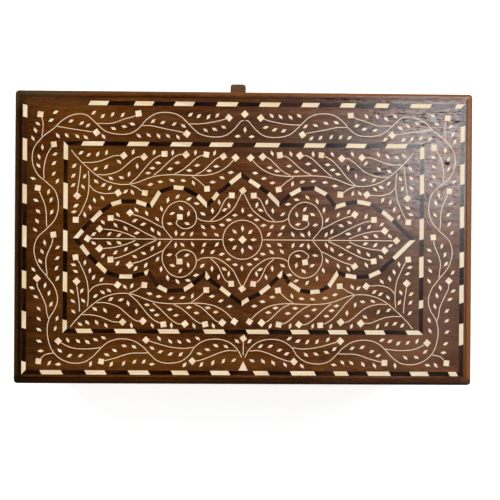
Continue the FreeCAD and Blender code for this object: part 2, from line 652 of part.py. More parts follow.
BORDER_STEM_SHARES = (
    ("", ((1.3, -103.5), (5, -96.5), (12, -90.3), (22, -87.5), (33, -88.7), (41.5, -94), (46.5, -101.5),
          (54, -107), (65, -108.8), (74, -106.7), (80.5, -101), (86.3, -94.7), (95, -89.3),
          (106, -87.7), (116, -90.3), (123, -96), (130, -103.5), (138, -108.3), (149, -108.7),
          (159, -104.3), (166, -95.5), (169, -82), (167.5, -71), (162.3, -62), (160.3, -53),
          (163, -43), (170, -33.5), (177.3, -24), (180.7, -12), (178, -1), (169.5, 7.5), (162.5, 16),
          (160, 27), (162.5, 39), (170, 47), (178, 54), (182.5, 64.5), (181.5, 76), (174, 86.5),
          (164.5, 94), (157, 101.5), (147.5, 106.5), (137, 106.5), (128.5, 99.5), (120.5, 92.3),
          (110, 89.5), (99, 90.2), (91, 95.3), (84.5, 103), (75.5, 108.5), (64, 109), (55, 105.5),
          (47.5, 98), (39, 90.5), (28, 87.8), (17, 89), (9, 95), (3.5, 101.8), (0.8, 102.6))),
    ("diamond", ((0, -101.3), (0, -86.8))),
    ("diamond", ((48, 99.2), (40, 99.2), (30, 100.5), (20, 102.8), (13.8, 105))),
    ("diamond", ((89, 97.3), (80, 97.2), (68, 94.5), (56, 92.3), (50, 90.4))),
    ("square", ((128, 99), (120, 98.8), (113, 99.5), (104, 103), (96, 105.3), (91.7, 108))),
    ("diamond", ((161.8, 96), (155, 94.8), (148, 93.7), (140, 92.5), (133.5, 91.6), (127.8, 90.8))),
    ("square", ((174.7, 87), (173.8, 92), (173.5, 98), (174.3, 102), (176, 106.5))),
    ("square", ((172.5, 50.5), (172.8, 58), (171.5, 66), (168.8, 73.5), (164.3, 80))),
    ("square", ((169.8, 9), (170.3, 13), (170.3, 20), (171.7, 28), (174.5, 35), (177.8, 42.3))),
    ("square", ((169.3, -33), (170, -27), (170.6, -20.5), (169, -14), (166.3, -8), (165, -4),
                (164.2, 2))),
    ("diamond", ((167.8, -71), (169.3, -66), (170.3, -59), (173, -52.5), (176, -46.5), (177.7, -42),
                 (178, -35.8))),
    ("square", ((163.3, -100.3), (168, -101), (172, -102.7), (176.3, -107.5))),
    ("diamond", ((122.8, -95.2), (130, -96.4), (138, -96.7), (146.5, -96), (153, -93.7),
                 (159.5, -90))),
    ("square", ((81.8, -99.8), (88, -100), (95, -100), (101.5, -101.3), (108, -103.7), (115, -105.7),
                (122.5, -107.5))),
    ("diamond", ((43, -94.7), (50, -95.7), (56, -95.5), (62, -94.8), (69, -93.2), (75, -91.3),
                 (84, -88.7))),
    ("diamond", ((5.5, -97.8), (11, -97.3), (17, -98.2), (24, -100.7), (31.5, -104), (38.5, -106.3),
                 (44, -106.8))),
)
BORDER_FLOWER_SHARES = (("diamond", (0, 108.3)),)
BORDER_LEAF_SHARES = (
    (0, 94), (5.7, 88.3), (47, 107.3), (40, 106), (31, 106), (23.5, 107), (33.5, 93.8), (26, 94.3),
    (18.3, 96.5), (57.5, 87.2), (66, 88), (74.7, 88.7), (83, 88.8), (91, 88), (52.7, 97.5), (61.3, 99),
    (70.3, 100.5), (79, 101.5), (105, 107), (114.3, 107), (122.8, 105.5), (130, 108), (121.5, 87),
    (113, 94.5), (104, 96.3), (96.8, 98.5), (149.5, 101), (141, 99), (135, 97), (161, 88), (153, 88),
    (144.5, 87.5), (137.3, 86.8), (178.3, 98.5), (180.5, 92), (182, 85.5), (166.5, 101.5),
    (163, 108.5), (174, 77.5), (176.5, 69.5), (177.5, 61.3), (163.5, 71.5), (164.3, 63.5),
    (164.5, 54.5), (161.3, 48), (181.5, 50.5), (179, 31.7), (177.5, 22), (178, 13.5), (180, 6),
    (166.5, 31.5), (165.8, 21.5), (168.8, 38.8), (171.7, -5.3), (174, -13), (175.3, -21),
    (160.5, -9.3), (161, -18.5), (161.5, -27.2), (160.5, -36), (181.2, -28.2), (182, -44.3),
    (179, -52), (176.7, -61.9), (176.3, -70.8), (176.5, -80), (175.5, -90.3), (174, -98.5),
    (170.8, -41.5), (167.3, -48.7), (166, -58), (161, -70), (162, -79.3), (166.7, -109),
    (159.7, -109.7), (120.7, -87.2), (127, -89), (134.3, -90.5), (142.7, -90), (151, -88.8),
    (158, -98), (149.9, -102.2), (140.5, -102.8), (94.5, -95), (103, -94), (111, -97.5),
    (117.5, -101.5), (78.5, -109.5), (86, -107.8), (94, -107.7), (103.5, -109), (113.7, -110),
    (131.7, -109.7), (47, -89), (55.5, -90), (63.5, -89.5), (73, -87.5), (39.5, -86.7), (54, -101),
    (62.7, -100.5), (72, -99), (79, -96), (15, -93.8), (23.5, -93.5), (31, -96.7), (37.5, -100),
    (8, -106), (17, -107), (26, -108), (36, -109.8), (50.5, -110.3), (5.5, -89.5))

# A leaf's outline, as shares of its length and width
LEAF_SHARES = ((-0.5, 0.03), (-0.06, -0.5), (0.5, -0.03), (0.06, 0.5))

# Leaves lean on a side stem rather than on the main stem, which counts as this much further off
MAIN_STEM_SHARE = 2

MEDALLION_LEAVES = 8
MEDALLION_SIDES = 24

# How much a leaf or a flower may come out smaller when it is cut by hand, and the start of the chances
LEAF_SHRINK_SHARE = 0.08
FLOWER_SHRINK_SHARE = 0.1
CROWDED_SHARE = 0.93
CROWDED_TRIES = 6
SETTLE_TRIES = 60
CHANCE_START = 1


def to_segment(point, start, end):
    """The place on a straight piece of line that is nearest to a point."""
    run = (end[0] - start[0], end[1] - start[1])
    length = run[0] * run[0] + run[1] * run[1]
    if length < TOUCHING:
        return start
    share = ((point[0] - start[0]) * run[0] + (point[1] - start[1]) * run[1]) / length
    share = min(max(share, 0), 1)
    return (start[0] + share * run[0], start[1] + share * run[1])


def turn_of(start, end, point):
    """Positive where a point lies to the left of a line, negative to its right."""
    return (end[0] - start[0]) * (point[1] - start[1]) - (end[1] - start[1]) * (point[0] - start[0])


def apart(first, second):
    """The distance between two straight pieces of line."""
    across = turn_of(*first, second[0]) * turn_of(*first, second[1])
    along = turn_of(*second, first[0]) * turn_of(*second, first[1])
    if across < 0 and along < 0:
        return 0
    return min([math.dist(point, to_segment(point, *second)) for point in first]
               + [math.dist(point, to_segment(point, *first)) for point in second])


def simplified(points):
    """The fewest points of a line that keep its course."""
    start, end = points[0], points[-1]
    strays = [math.dist(point, to_segment(point, start, end)) for point in points[1:-1]]
    if not strays or max(strays) <= size("curve_tolerance"):
        return [start, end]
    split = strays.index(max(strays)) + 1
    return simplified(points[:split + 1])[:-1] + simplified(points[split:])


def between(knots, share):
    """One coordinate on the smooth curve between the middle two of four knots."""
    before, start, end, after = knots
    steady = end - before
    bend = 2 * before - 5 * start + 4 * end - after
    swing = 3 * start - before - 3 * end + after
    return start + (steady * share + bend * share ** 2 + swing * share ** 3) / 2


def curve_through(points):
    """Close points on a smooth curve through the given ones."""
    first = tuple(2 * near - far for near, far in zip(points[0], points[1]))
    last = tuple(2 * near - far for near, far in zip(points[-1], points[-2]))
    knots = [first, *points, last]
    curve = []
    for four in zip(knots, knots[1:], knots[2:], knots[3:]):
        count = math.ceil(math.dist(four[1], four[2]) / size("curve_step"))
        curve += [tuple(between(line, index / count) for line in zip(*four)) for index in range(count)]
    return curve + [points[-1]]


def beside(points, distance):
    """A line that runs beside another, to its left where the distance is positive."""
    line = []
    for before, point, after in zip(points[:1] + points, points, points[1:] + points[-1:]):
        run = (after[0] - before[0], after[1] - before[1])
        scale = distance / math.hypot(*run)
        line.append((point[0] - run[1] * scale, point[1] + run[0] * scale))
    return line


class Taken:
    """The places on the lid that hold a piece already, kept as thick lines in cells."""

    def __init__(self):
        self.cells = {}

    def cells_of(self, low, high):
        """The cells between two corners."""
        first = [math.floor(value / size("cell_side")) for value in low]
        last = [math.floor(value / size("cell_side")) for value in high]
        return [(column, row) for column in range(first[0], last[0] + 1)
                for row in range(first[1], last[1] + 1)]

    def add(self, points, half_width):
        """Marks a thick line."""
        for start, end in zip(points, points[1:]):
            low = [min(pair) - half_width for pair in zip(start, end)]
            high = [max(pair) + half_width for pair in zip(start, end)]
            for cell in self.cells_of(low, high):
                self.cells.setdefault(cell, []).append((start, end, half_width))

    def near(self, point, reach):
        """The thick lines that come within reach of a point, and perhaps some more."""
        cells = self.cells_of([value - reach for value in point], [value + reach for value in point])
        return {line for cell in cells for line in self.cells.get(cell, ())}

    def clear(self, point, gap):
        """Whether a point keeps its distance from every thick line."""
        return all(math.dist(point, to_segment(point, start, end)) >= half_width + gap
                   for start, end, half_width in self.near(point, gap))


def longest_clear(points, taken):
    """The longest unbroken part of a line that keeps its distance from what is taken."""
    best, start = (0, 0), 0
    for index, point in enumerate(points + [None]):
        if point is None or not taken.clear(point, size("stem_gap")):
            best = max(best, (index - start, start))
            start = index + 1
    return points[best[1]:best[1] + best[0]]


def stem_outline(curve, taken):
    """The outline of a stem that stops short of what it grows from and what it ends in."""
    half_width = size("stem_width") / 2
    lines = [longest_clear(beside(curve, way * half_width), taken) for way in (1, 0, -1)]
    if min(len(line) for line in lines) < 2:
        return []
    left, middle, right = (simplified(line) for line in lines)
    return left + middle[-1:] + right[::-1] + middle[:1]


def turned(outline, centre, angle):
    """An outline turned by degrees and moved to a centre."""
    sine, cosine = math.sin(math.radians(angle)), math.cos(math.radians(angle))
    return [(centre[0] + x * cosine - y * sine, centre[1] + x * sine + y * cosine) for x, y in outline]


def flower_outline(kind, centre, turn=0, shares=(1, 1)):
    """A square, or one that stands on its corner, turned and cut narrower by shares."""
    long, wide = (share * size("flower_side") / 2 for share in shares)
    corners = [(-long, -wide), (long, -wide), (long, wide), (-long, wide)]
    return turned(corners, centre, turn + (45 if kind == "diamond" else 0))


def leaf_outline(centre, angle, scale):
    """A leaf of a scale about its centre."""
    length, width = scale * size("petal_length"), scale * size("petal_width")
    return turned([(length * x, width * y) for x, y in LEAF_SHARES], centre, angle)


def closed(outline):
    """An outline that ends where it starts."""
    return list(outline) + [outline[0]]


def tightest(outline, lines):
    """How near an outline comes to a set of thick lines, and the one that is nearest."""
    edges = list(zip(outline, outline[1:] + outline[:1]))
    gaps = [(min(apart(edge, line[:2]) for edge in edges) - line[2], line) for line in lines]
    return min(gaps, default=(math.inf, None))


def settled_leaf(centre, angle, scale, taken):
    """A leaf moved, and if need be made smaller, until it keeps its distance."""
    gap = size("piece_gap")
    for attempt in range(1, SETTLE_TRIES + 1):
        outline = leaf_outline(centre, angle, scale)
        near = taken.near(centre, scale * size("petal_length") / 2 + gap)
        tight, line = tightest(outline, near)
        if tight >= gap:
            return outline
        nearest = to_segment(centre, *line[:2])
        distance = max(math.dist(centre, nearest), TOUCHING)
        push = (gap - tight + TOUCHING) / distance
        centre = tuple(here + push * (here - there) for here, there in zip(centre, nearest))
        if attempt % CROWDED_TRIES == 0:
            scale *= CROWDED_SHARE
    return []


def growth_near(centre, curves):
    """The way the nearest stem grows, in degrees, and the side of it that a point is on."""
    best = (math.inf, 0, 1)
    for share, curve in curves:
        for start, end in zip(curve, curve[1:]):
            distance = share * math.dist(centre, to_segment(centre, start, end))
            if distance < best[0]:
                angle = math.degrees(math.atan2(end[1] - start[1], end[0] - start[0]))
                best = (distance, angle, math.copysign(1, turn_of(start, end, centre)))
    return best[1:]


def stretched(count, axis, outer):
    """A count of squares in millimetres, straight between the two border lines."""
    inner_count, outer_count = INNER_LINE_SHARES[axis], OUTER_LINE_SHARES[axis]
    inner = BORDER_LINES["inner"][axis]
    if abs(count) <= inner_count:
        return count * inner / inner_count
    beyond = (abs(count) - inner_count) / (outer_count - inner_count)
    return math.copysign(inner + beyond * (outer - inner), count)


def on_lid(point):
    """A point of the drawing in millimetres."""
    sides, back, front = BORDER_LINES["outer"]
    return (stretched(point[0], 0, sides), stretched(point[1], 1, front if point[1] > 0 else back))


def mirrored(points, ways):
    """A drawn line or point set, mirrored every way that makes a new one."""
    images = []
    for across, up in ways:
        image = tuple((across * x + 0.0, up * y + 0.0) for x, y in points)
        if image not in images:
            images.append(image)
    return images


QUARTER_WAYS = ((1, 1), (-1, 1), (1, -1), (-1, -1))
HALF_WAYS = ((1, 1), (-1, 1))


def grow(name, tables, ways, centre, taken, chances):
    """Draws the stems, flowers and leaves of one field, each clear of the others."""
    def images(points):
        return [[on_lid((x + centre[0], y + centre[1])) for x, y in image]
                for image in mirrored(points, ways)]

    stems, flowers, leaves = tables
    outlines = {"stems": [], "flowers": [], "leaves": []}
    ends = [(kind, points[-1]) for kind, points in stems if kind] + list(flowers)
    for kind, point in ends:
        for (middle,) in images([point]):
            turn = chances.uniform(-1, 1) * size("flower_turn")
            shares = [1 - chances.uniform(0, FLOWER_SHRINK_SHARE) for _ in middle]
            outline = flower_outline(kind, middle, turn, shares)
            outlines["flowers"].append(outline)
            taken.add(closed(outline), 0)
            taken.add([middle, middle], size("flower_side") / 2)
    curves = []
    for index, (kind, points) in enumerate(stems):
        for image in images(points):
            curve = curve_through(image)
            outline = stem_outline(curve, taken)
            if outline:
                outlines["stems"].append(outline)
            line = simplified(curve)
            curves.append((1 if index else MAIN_STEM_SHARE, line))
            taken.add(line, size("stem_width") / 2)
    for point in leaves:
        for (middle,) in images([point]):
            angle, side = growth_near(middle, curves)
            angle += side * size("petal_tilt") + chances.uniform(-1, 1) * size("petal_turn")
            if abs(point[0]) < TOUCHING:
                angle = 90
            scale = 1 - chances.uniform(0, LEAF_SHRINK_SHARE)
            middle = tuple(value + chances.uniform(-1, 1) * size("petal_scatter") for value in middle)
            outline = settled_leaf(middle, angle, scale, taken)
            if outline:
                outlines["leaves"].append(outline)
                taken.add(closed(outline), 0)
    return {f"{name}_{kind}": found for kind, found in outlines.items()}


def rectangle(sides, back, front):
    """A rectangle about the middle of the lid, in the drawing's directions."""
    return [(-sides, -back), (sides, -back), (sides, front), (-sides, front)]


def ring_edges(loop, width):
    """The inner and outer corners of a ring whose straight bars meet in mitres."""
    inner, outer = [], []
    for before, point, after in zip(loop[-1:] + loop[:-1], loop, loop[1:] + loop[:1]):
        first = math.atan2(point[1] - before[1], point[0] - before[0])
        bend = math.atan2(after[1] - point[1], after[0] - point[0]) - first
        bend = math.remainder(bend, 2 * math.pi)
        reach = width / 2 / math.cos(bend / 2)
        way = first + bend / 2 + math.pi / 2
        step = (reach * math.cos(way), reach * math.sin(way))
        inner.append((point[0] + step[0], point[1] + step[1]))
        outer.append((point[0] - step[0], point[1] - step[1]))
    return inner, outer


def border_bars(border, bone_shares):
    """The bars of a border's four strips, as bone or ebony outlines."""
    counts = {"inner": INNER_LINE_SHARES, "outer": OUTER_LINE_SHARES}[border]
    sides, back, front = BORDER_LINES[border]
    half = size("bar_width") / 2
    frames = {
        "top": (0, (-sides, sides), lambda along, out: (along, front + out)),
        "bottom": (0, (-sides, sides), lambda along, out: (along, -back - out)),
        "left": (1, (-back, front), lambda along, out: (-sides - out, along)),
        "right": (1, (-back, front), lambda along, out: (sides + out, along)),
    }
    bars = []
    for side, (axis, (start, finish), at) in frames.items():
        slant = size("bar_slant") / (2 if axis == 0 else 4)

        def joint(count):
            if abs(count) >= counts[axis]:
                return last_mitre if count > 0 else first_mitre
            place = on_lid((count, 0) if axis == 0 else (0, count))[axis]
            return (place - slant, place + slant)

        first_mitre, last_mitre = (start + half, start - half), (finish - half, finish + half)
        joints, kinds = [first_mitre], []
        for low, high in bone_shares[side]:
            if joint(low) != joints[-1]:
                joints.append(joint(low))
                kinds.append("ebony")
            joints.append(joint(high))
            kinds.append("bone")
        if joints[-1] != last_mitre:
            joints.append(last_mitre)
            kinds.append("ebony")
        for index, kind in enumerate(kinds):
            first, second = joints[index], joints[index + 1]
            outline = [at(first[0], -half), at(second[0], -half), at(second[1], half), at(first[1], half)]
            repaired = border == "outer" and side == "top" and index == 0
            bars.append(("repair" if repaired else kind, outline))
    return bars


def cartouche_loop():
    """The centre line of the cartouche, from its left end round by the back."""
    across, up = ORNAMENT_CENTRE_SHARES
    return [on_lid((x + across, y + up)) for x, y in CARTOUCHE_SHARES]


def medallion_loop():
    """The corners of the ring in the middle."""
    across, up = on_lid(ORNAMENT_CENTRE_SHARES)
    turns = [2 * math.pi * index / MEDALLION_SIDES for index in range(MEDALLION_SIDES)]
    radius = size("medallion_radius")
    return [(across + radius * math.cos(turn), up + radius * math.sin(turn)) for turn in turns]


def medallion_pieces():
    """The square in the middle of the lid, and the leaves round it."""
    middle = on_lid(ORNAMENT_CENTRE_SHARES)
    radius = size("medallion_petal_radius")
    outlines = [flower_outline("diamond", middle)]
    for index in range(MEDALLION_LEAVES):
        angle = 360 * index / MEDALLION_LEAVES
        place = turned([(radius, 0)], middle, angle)[0]
        outlines.append(leaf_outline(place, angle, 1))
    return outlines


def triangle_outline():
    """The triangle that the border's stems grow from, at the middle of the back."""
    base = -BORDER_LINES["outer"][1] + size("bar_width") / 2 + size("piece_gap")
    half = size("triangle_width") / 2
    return [(-half, base), (half, base), (0, base + size("triangle_height"))]


def wound(outline, way):
    """An outline that runs to the left for a positive way, to the right for a negative one."""
    corners = closed(outline)
    area = sum(start[0] * end[1] - end[0] * start[1] for start, end in zip(corners, corners[1:]))
    return list(outline) if area * way > 0 else list(outline)[::-1]


def face_of(outline, holes=()):
    """A flat face on the lid. The drawing has its front edge up, so it is turned half round."""
    level = size("lid_top") - size("inlay_depth")
    wires = []
    for corners in [wound(outline, 1)] + [wound(hole, -1) for hole in holes]:
        points = [FreeCAD.Vector(-across, -up, level) for across, up in corners]
        wires.append(Part.makePolygon(closed(points)))
    return Part.Face(wires)


def sunk(face):
    """A piece of a face's outline, as deep as the inlay."""
    return face.extrude(FreeCAD.Vector(0, 0, size("inlay_depth")))


def make_inlay():
    """Draws every piece of the inlay, and the top layer of wood that is left round them."""
    taken = Taken()
    chances = random.Random(CHANCE_START)
    bar_half = size("bar_width") / 2
    rings = {name: rectangle(*lines) for name, lines in BORDER_LINES.items()}
    for ring in rings.values():
        taken.add(closed(ring), bar_half)
    rings["cartouche"] = cartouche_loop()
    taken.add(closed(rings["cartouche"]), size("cartouche_bar_width") / 2)
    rings["medallion"] = medallion_loop()
    taken.add(closed(rings["medallion"]), size("stem_width") / 2)
    triangle = triangle_outline()
    taken.add(closed(triangle), 0)

    pieces = {}
    nowhere = (0, 0)
    fields = {
        "border": ((BORDER_STEM_SHARES, BORDER_FLOWER_SHARES, BORDER_LEAF_SHARES), HALF_WAYS, nowhere),
        "corner": ((CORNER_STEM_SHARES, (), CORNER_LEAF_SHARES), QUARTER_WAYS, ORNAMENT_CENTRE_SHARES),
        "centre": ((CENTRE_STEM_SHARES, CENTRE_FLOWER_SHARES, CENTRE_LEAF_SHARES), QUARTER_WAYS,
                   ORNAMENT_CENTRE_SHARES),
    }
    holes = {}
    for name, (tables, ways, centre) in fields.items():
        grown = grow(name, tables, ways, centre, taken, chances)
        holes[name] = [outline for outlines in grown.values() for outline in outlines]
        pieces.update(grown)
    pieces["border_triangle"] = [triangle]
    holes["border"].append(triangle)
    pieces["medallion_pieces"] = medallion_pieces()
    for border, table in (("outer", OUTER_BONE_SHARES), ("inner", INNER_BONE_SHARES)):
        for kind, outline in border_bars(border, table):
            pieces.setdefault(f"{border}_border_{kind}", []).append(outline)
    inner, outer = ring_edges(rings["cartouche"], size("cartouche_bar_width"))
    cartouche = (inner, outer)
    corners = list(zip(inner, outer))
    for index, (first, second) in enumerate(zip(corners, corners[1:] + corners[:1])):
        kind = "bone" if index % 2 else "ebony"
        outline = [first[0], second[0], second[1], first[1]]
        pieces.setdefault(f"cartouche_{kind}", []).append(outline)
    medallion = ring_edges(rings["medallion"], size("stem_width"))

    for name, outlines in pieces.items():
        solids = [sunk(face_of(outline)) for outline in outlines]
        node(drawn(f"inlay_{name}", Part.makeCompound(solids)), name)
    ring = sunk(face_of(medallion[1], [medallion[0]]))
    node(drawn("inlay_medallion_ring", ring), "medallion_ring")

    edges = {}
    for name, lines in BORDER_LINES.items():
        edges[name] = [[line + way * bar_half for line in lines] for way in (-1, 1)]
    inner_border = [rectangle(*lines) for lines in edges["inner"]]
    wood, floors, breaks = part_at_seam(edges["outer"], holes["border"], inner_border[1])
    inner_rings = (inner_border, cartouche, medallion)
    holes["medallion"] = pieces["medallion_pieces"]
    for ring, name, next_ring in zip(inner_rings, ("corner", "centre", "medallion"),
                                     (cartouche, medallion, None)):
        next_hole = [next_ring[1]] if next_ring else []
        wood["front"].append(face_of(ring[0], holes[name] + next_hole))
        floors["front"].append(face_of(ring[1], [ring[0]]))
        floors["front"] += [face_of(outline) for outline in holes[name]]
    return wood, floors, breaks


def runs_beyond(outline, level, way):
    """The stretches of an outline above or below a level line, each from left to right."""
    inside = [(up - level) * way > 0 for _, up in outline]
    runs = []
    for index in range(len(outline)):
        if not inside[index] or inside[index - 1]:
            continue
        run, last = [crossing(outline[index - 1], outline[index], level)], index
        while inside[last % len(outline)]:
            run.append(outline[last % len(outline)])
            last += 1
        run.append(crossing(run[-1], outline[last % len(outline)], level))
        runs.append(run if run[0][0] < run[-1][0] else run[::-1])
    return runs


def crossing(start, end, level):
    """The place where a straight piece of line crosses a level line."""
    share = (level - start[1]) / (end[1] - start[1])
    return (start[0] + share * (end[0] - start[0]), level)


def part_at_seam(outer_edges, pieces, inner_border):
    """The wood, the pocket floors and the seam's breaks of both boards, outside the inner border."""
    level = -size("board_seam")
    length, width = size("board_length") / 2, size("board_width") / 2
    wood, floors, breaks = {}, {}, {}
    for side, way in (("front", 1), ("back", -1)):
        (near, near_back, near_front), (far, far_back, far_front) = outer_edges
        near_end, far_end = (near_front, far_front) if way > 0 else (-near_back, -far_back)
        rim = [(-length, level), (-far, level), (-far, far_end), (far, far_end), (far, level),
               (length, level), (length, way * width), (-length, way * width)]
        channel = [(-far, level), (-near, level), (-near, near_end), (near, near_end), (near, level),
                   (far, level), (far, far_end), (-far, far_end)]
        own, runs = [], []
        for piece in pieces:
            beyond = [(up - level) * way > 0 for _, up in piece]
            if all(beyond):
                own.append(piece)
            elif any(beyond):
                runs += runs_beyond(piece, level, way)
        seam = [corner for run in sorted(runs) for corner in run]
        field = [(-near, level), *seam, (near, level), (near, near_end), (-near, near_end)]
        rings = [inner_border] if way > 0 else []
        wood[side] = [face_of(rim), face_of(field, own + rings)]
        floors[side] = [face_of(outline) for outline in [channel, *own, *runs]]
        ends = [end[0] for run in runs for end in (run[0], run[-1])]
        breaks[side] = sorted([-far, -near, near, far, *ends])
    return wood, floors, breaks


def block_faces(side, breaks):
    """The underside and the edges of one board, up to the pocket floors."""
    low, high = size("lid_seat"), size("lid_top") - size("inlay_depth")
    length, seam = size("board_length") / 2, -size("board_seam")
    far = size("board_width") / 2 * (1 if side == "front" else -1)
    corners = [(-length, seam), (length, seam), (length, far), (-length, far)]
    outlines = [[(*corner, low) for corner in corners]]
    for start, end in zip(corners, corners[1:] + corners[:1]):
        outlines.append([(*start, low), (*end, low), (*end, high), (*start, high)])
    outlines[1][3:3] = [(place, seam, high) for place in breaks[::-1]]
    faces = []
    for outline in outlines:
        points = [FreeCAD.Vector(-across, -up, level) for across, up, level in outline]
        faces.append(Part.Face(Part.makePolygon(closed(points))))
    return faces


def make_lid_boards(wood, floors, breaks):
    """The two boards of the lid's top, with pockets that are open at the top."""
    floor_level = size("lid_top") - size("inlay_depth")
    for side in ("front", "back"):
        faces = block_faces(side, breaks[side]) + floors[side]
        for layer in [sunk(face) for face in wood[side]]:
            faces += [face for face in layer.Faces if face.BoundBox.ZMax > floor_level + TOUCHING]
        shell = Part.makeShell(faces)
        shell.sewShape()
        node(drawn(f"board_{side}", Part.makeSolid(shell)), f"lid_board_{side}")


def make_case(hinge_cuts, groove):
    """The floor, the four walls, and what is cut in them."""
    nails, bores = make_nails()
    floor, pad = slab("floor", "case_length", "case_width", "floor_thickness")
    floor_tools = [tool for pairs in bores.values() for pair in pairs for tool in pair]
    node(cut("floor_bored", floor, floor_tools), "bottom_board")
    joint = {"bottom": "floor_thickness", "top": "rim", "thickness": "wall_thickness",
             "tails": "wall_tails"}
    for side, wall in make_frame("wall", joint).items():
        tools = [bore for sink, bore in bores[side]]
        if side != "front":
            tools.append(groove)
        if side == "back":
            tools += hinge_cuts
        node(cut(f"wall_{side}_finished", wall, tools), f"case_{side}_wall")
    node(group("nails", nails), "floor_nails")
    make_plinth()
    make_lining()


def make_lid(hinge_cuts, groove):
    """The lid's frame, its boards, its edge moulding and its thumb tab."""
    joint = {"bottom": "lid_base", "top": "lid_seat", "thickness": "rail_thickness",
             "tails": "rail_tails"}
    for side, rail in make_frame("rail", joint).items():
        tools = [] if side == "front" else [groove]
        if side == "back":
            tools += hinge_cuts
        node(cut(f"rail_{side}_finished", rail, tools) if tools else rail, f"lid_rail_{side}")
    make_lid_moulding()
    make_lid_boards(*make_inlay())


def half_of(whole, *insets):
    """Half of a length less some insets."""
    return size(whole) / 2 - sum(size(inset) for inset in insets)


# The centre lines of the borders: how far the sides, the back and the front are from the middle
bar_middle = size("bar_width") / 2
BORDER_LINES = {
    "inner": (half_of("lid_length", "inner_side_inset"), half_of("lid_width", "inner_end_inset"),
              half_of("lid_width", "inner_end_inset")),
    "outer": (half_of("lid_length", "side_margin") - bar_middle,
              half_of("lid_width", "back_margin") - bar_middle,
              half_of("lid_width", "front_margin") - bar_middle),
}

hinge_screws = {"case": [], "lid": []}
wood_cuts = {"case": [], "lid": []}
for hinge_side, hinge_sign in (("left", "-"), ("right", "")):
    made_screws, made_cuts = make_hinge(hinge_side, hinge_sign)
    for owner in hinge_screws:
        hinge_screws[owner] += made_screws[owner]
        wood_cuts[owner] += made_cuts[owner]
for owner, screws in hinge_screws.items():
    node(group(f"{owner}_screws", screws), f"{owner}_hinge_screws")
hinge_groove = make_hinge_groove()
make_case(wood_cuts["case"], hinge_groove)
make_lid(wood_cuts["lid"], hinge_groove)

doc.recompute()
for item in doc.Objects:
    if {"Invalid", "Error"} & set(item.State):
        raise ValueError(f"{item.Name} was not made")
os.makedirs("parts", exist_ok=True)
for item in NODES:
    if item.Shape.isNull() or not item.Shape.Solids or not item.Shape.isValid():
        raise ValueError(f"{item.Label} has no valid shape")
    item.Shape.exportStep(f"parts/{item.Label}.step")
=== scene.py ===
"""The bone inlay box, dressed: waxed wood, bone, ebony and aged brass, seen from above."""

import math
from typing import NamedTuple

import bpy
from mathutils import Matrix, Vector


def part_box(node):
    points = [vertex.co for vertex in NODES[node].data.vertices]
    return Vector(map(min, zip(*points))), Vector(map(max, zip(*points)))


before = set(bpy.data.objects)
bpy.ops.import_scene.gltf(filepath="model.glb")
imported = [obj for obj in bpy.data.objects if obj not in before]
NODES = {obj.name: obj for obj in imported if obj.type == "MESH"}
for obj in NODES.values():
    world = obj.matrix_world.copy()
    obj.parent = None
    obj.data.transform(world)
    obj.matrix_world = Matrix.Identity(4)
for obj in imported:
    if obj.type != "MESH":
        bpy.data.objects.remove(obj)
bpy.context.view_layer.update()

# The lid's half length and width and the height of its top, in metres
LID_HALF_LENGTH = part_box("lid_moulding_right")[1][0]
LID_HALF_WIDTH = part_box("lid_moulding_back")[1][1]
LID_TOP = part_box("lid_board_front")[1][2]

# The camera over the lid, in metres, degrees and millimetres: the top of the photograph is the
# front of the box
CAMERA_PLACE = (0.00683, 0.00889, 0.8763)
CAMERA_TURN = (-0.096, -0.923, 180.404)
CAMERA_LENS = 62.46
CAMERA_SENSOR = 36.0

# Four soft lights round the box, each at an angle about it in degrees and with its power in watts;
# none of them shows in the lacquer, so the inlay reads from low down too
SIDE_LIGHTS = ((35, 16.0), (125, 18.0), (215, 31.0), (305, 21.0))
SIDE_LIGHT_DISTANCE = 1.75
SIDE_LIGHT_HEIGHT = 1.25
SIDE_LIGHT_SIDES = (1.1, 1.1)
SIDE_LIGHT_AIM = (0.0, 0.0, 0.08)

# The window whose sheen lies over one corner of the lid, and the pale wall round it that veils that
# half, each with its place, sides, power and colour; neither lends the rest of the room any light
SHEENS = {
    "window": ((-0.54, -0.29, 1.63), (0.32, 0.40), 15.0, (0.90, 0.95, 1.0)),
    "glow": ((-0.90, -0.40, 1.63), (1.2, 1.5), 6.5, (1.0, 0.92, 0.86)),
}

WHITE = (1.0, 1.0, 1.0)

# The strength of the room's light, and how brightly a glossy face mirrors the room from low down to
# overhead, with the upward parts of the mirrored directions between which that changes
ROOM_LIGHT = 0.16
MIRRORED_ROOM = (0.60, 0.02)
MIRRORED_DIRECTIONS = (0.05, 0.40)

# The floor's side in metres, its tones, and how brightly it shows from near the box to far away
FLOOR_SIDE = 6.0
FLOOR_TONE_PLACES = (0.3, 0.7)
FLOOR_TONES = ((0.90, 0.90, 0.90), (0.93, 0.93, 0.93))
FLOOR_ROUGHNESS = 0.9
FLOOR_SHINE = 0.1
FLOOR_LIFT = (0.45, 0.95)
FLOOR_LIFT_DISTANCES = (0.35, 1.8)

ALONG_X, ALONG_Y, ALONG_Z = AXES = (0, 1, 2)
# A mark on the lid's top runs along the box, so it repeats more often across it
ACROSS_TOP = (ALONG_Y,)


class Noise(NamedTuple):
    """How often a noise repeats in a metre, how many times closer across, and how it is made up."""

    repeats: float
    across: float = 1.0
    detail: float = 4.0
    roughness: float = 0.55
    distortion: float = 0.0


FLOOR_PATCHES = Noise(3.0, detail=2.0)


def add(tree, kind, inputs=None, **settings):
    """A shader node with its settings, and its inputs as values or as other nodes' outputs."""
    node = tree.nodes.new(kind)
    for name, value in settings.items():
        setattr(node, name, value)
    for name, value in (inputs or {}).items():
        socket = node.inputs[name]
        if isinstance(value, bpy.types.NodeSocket):
            tree.links.new(value, socket)
        else:
            socket.default_value = value
    return node


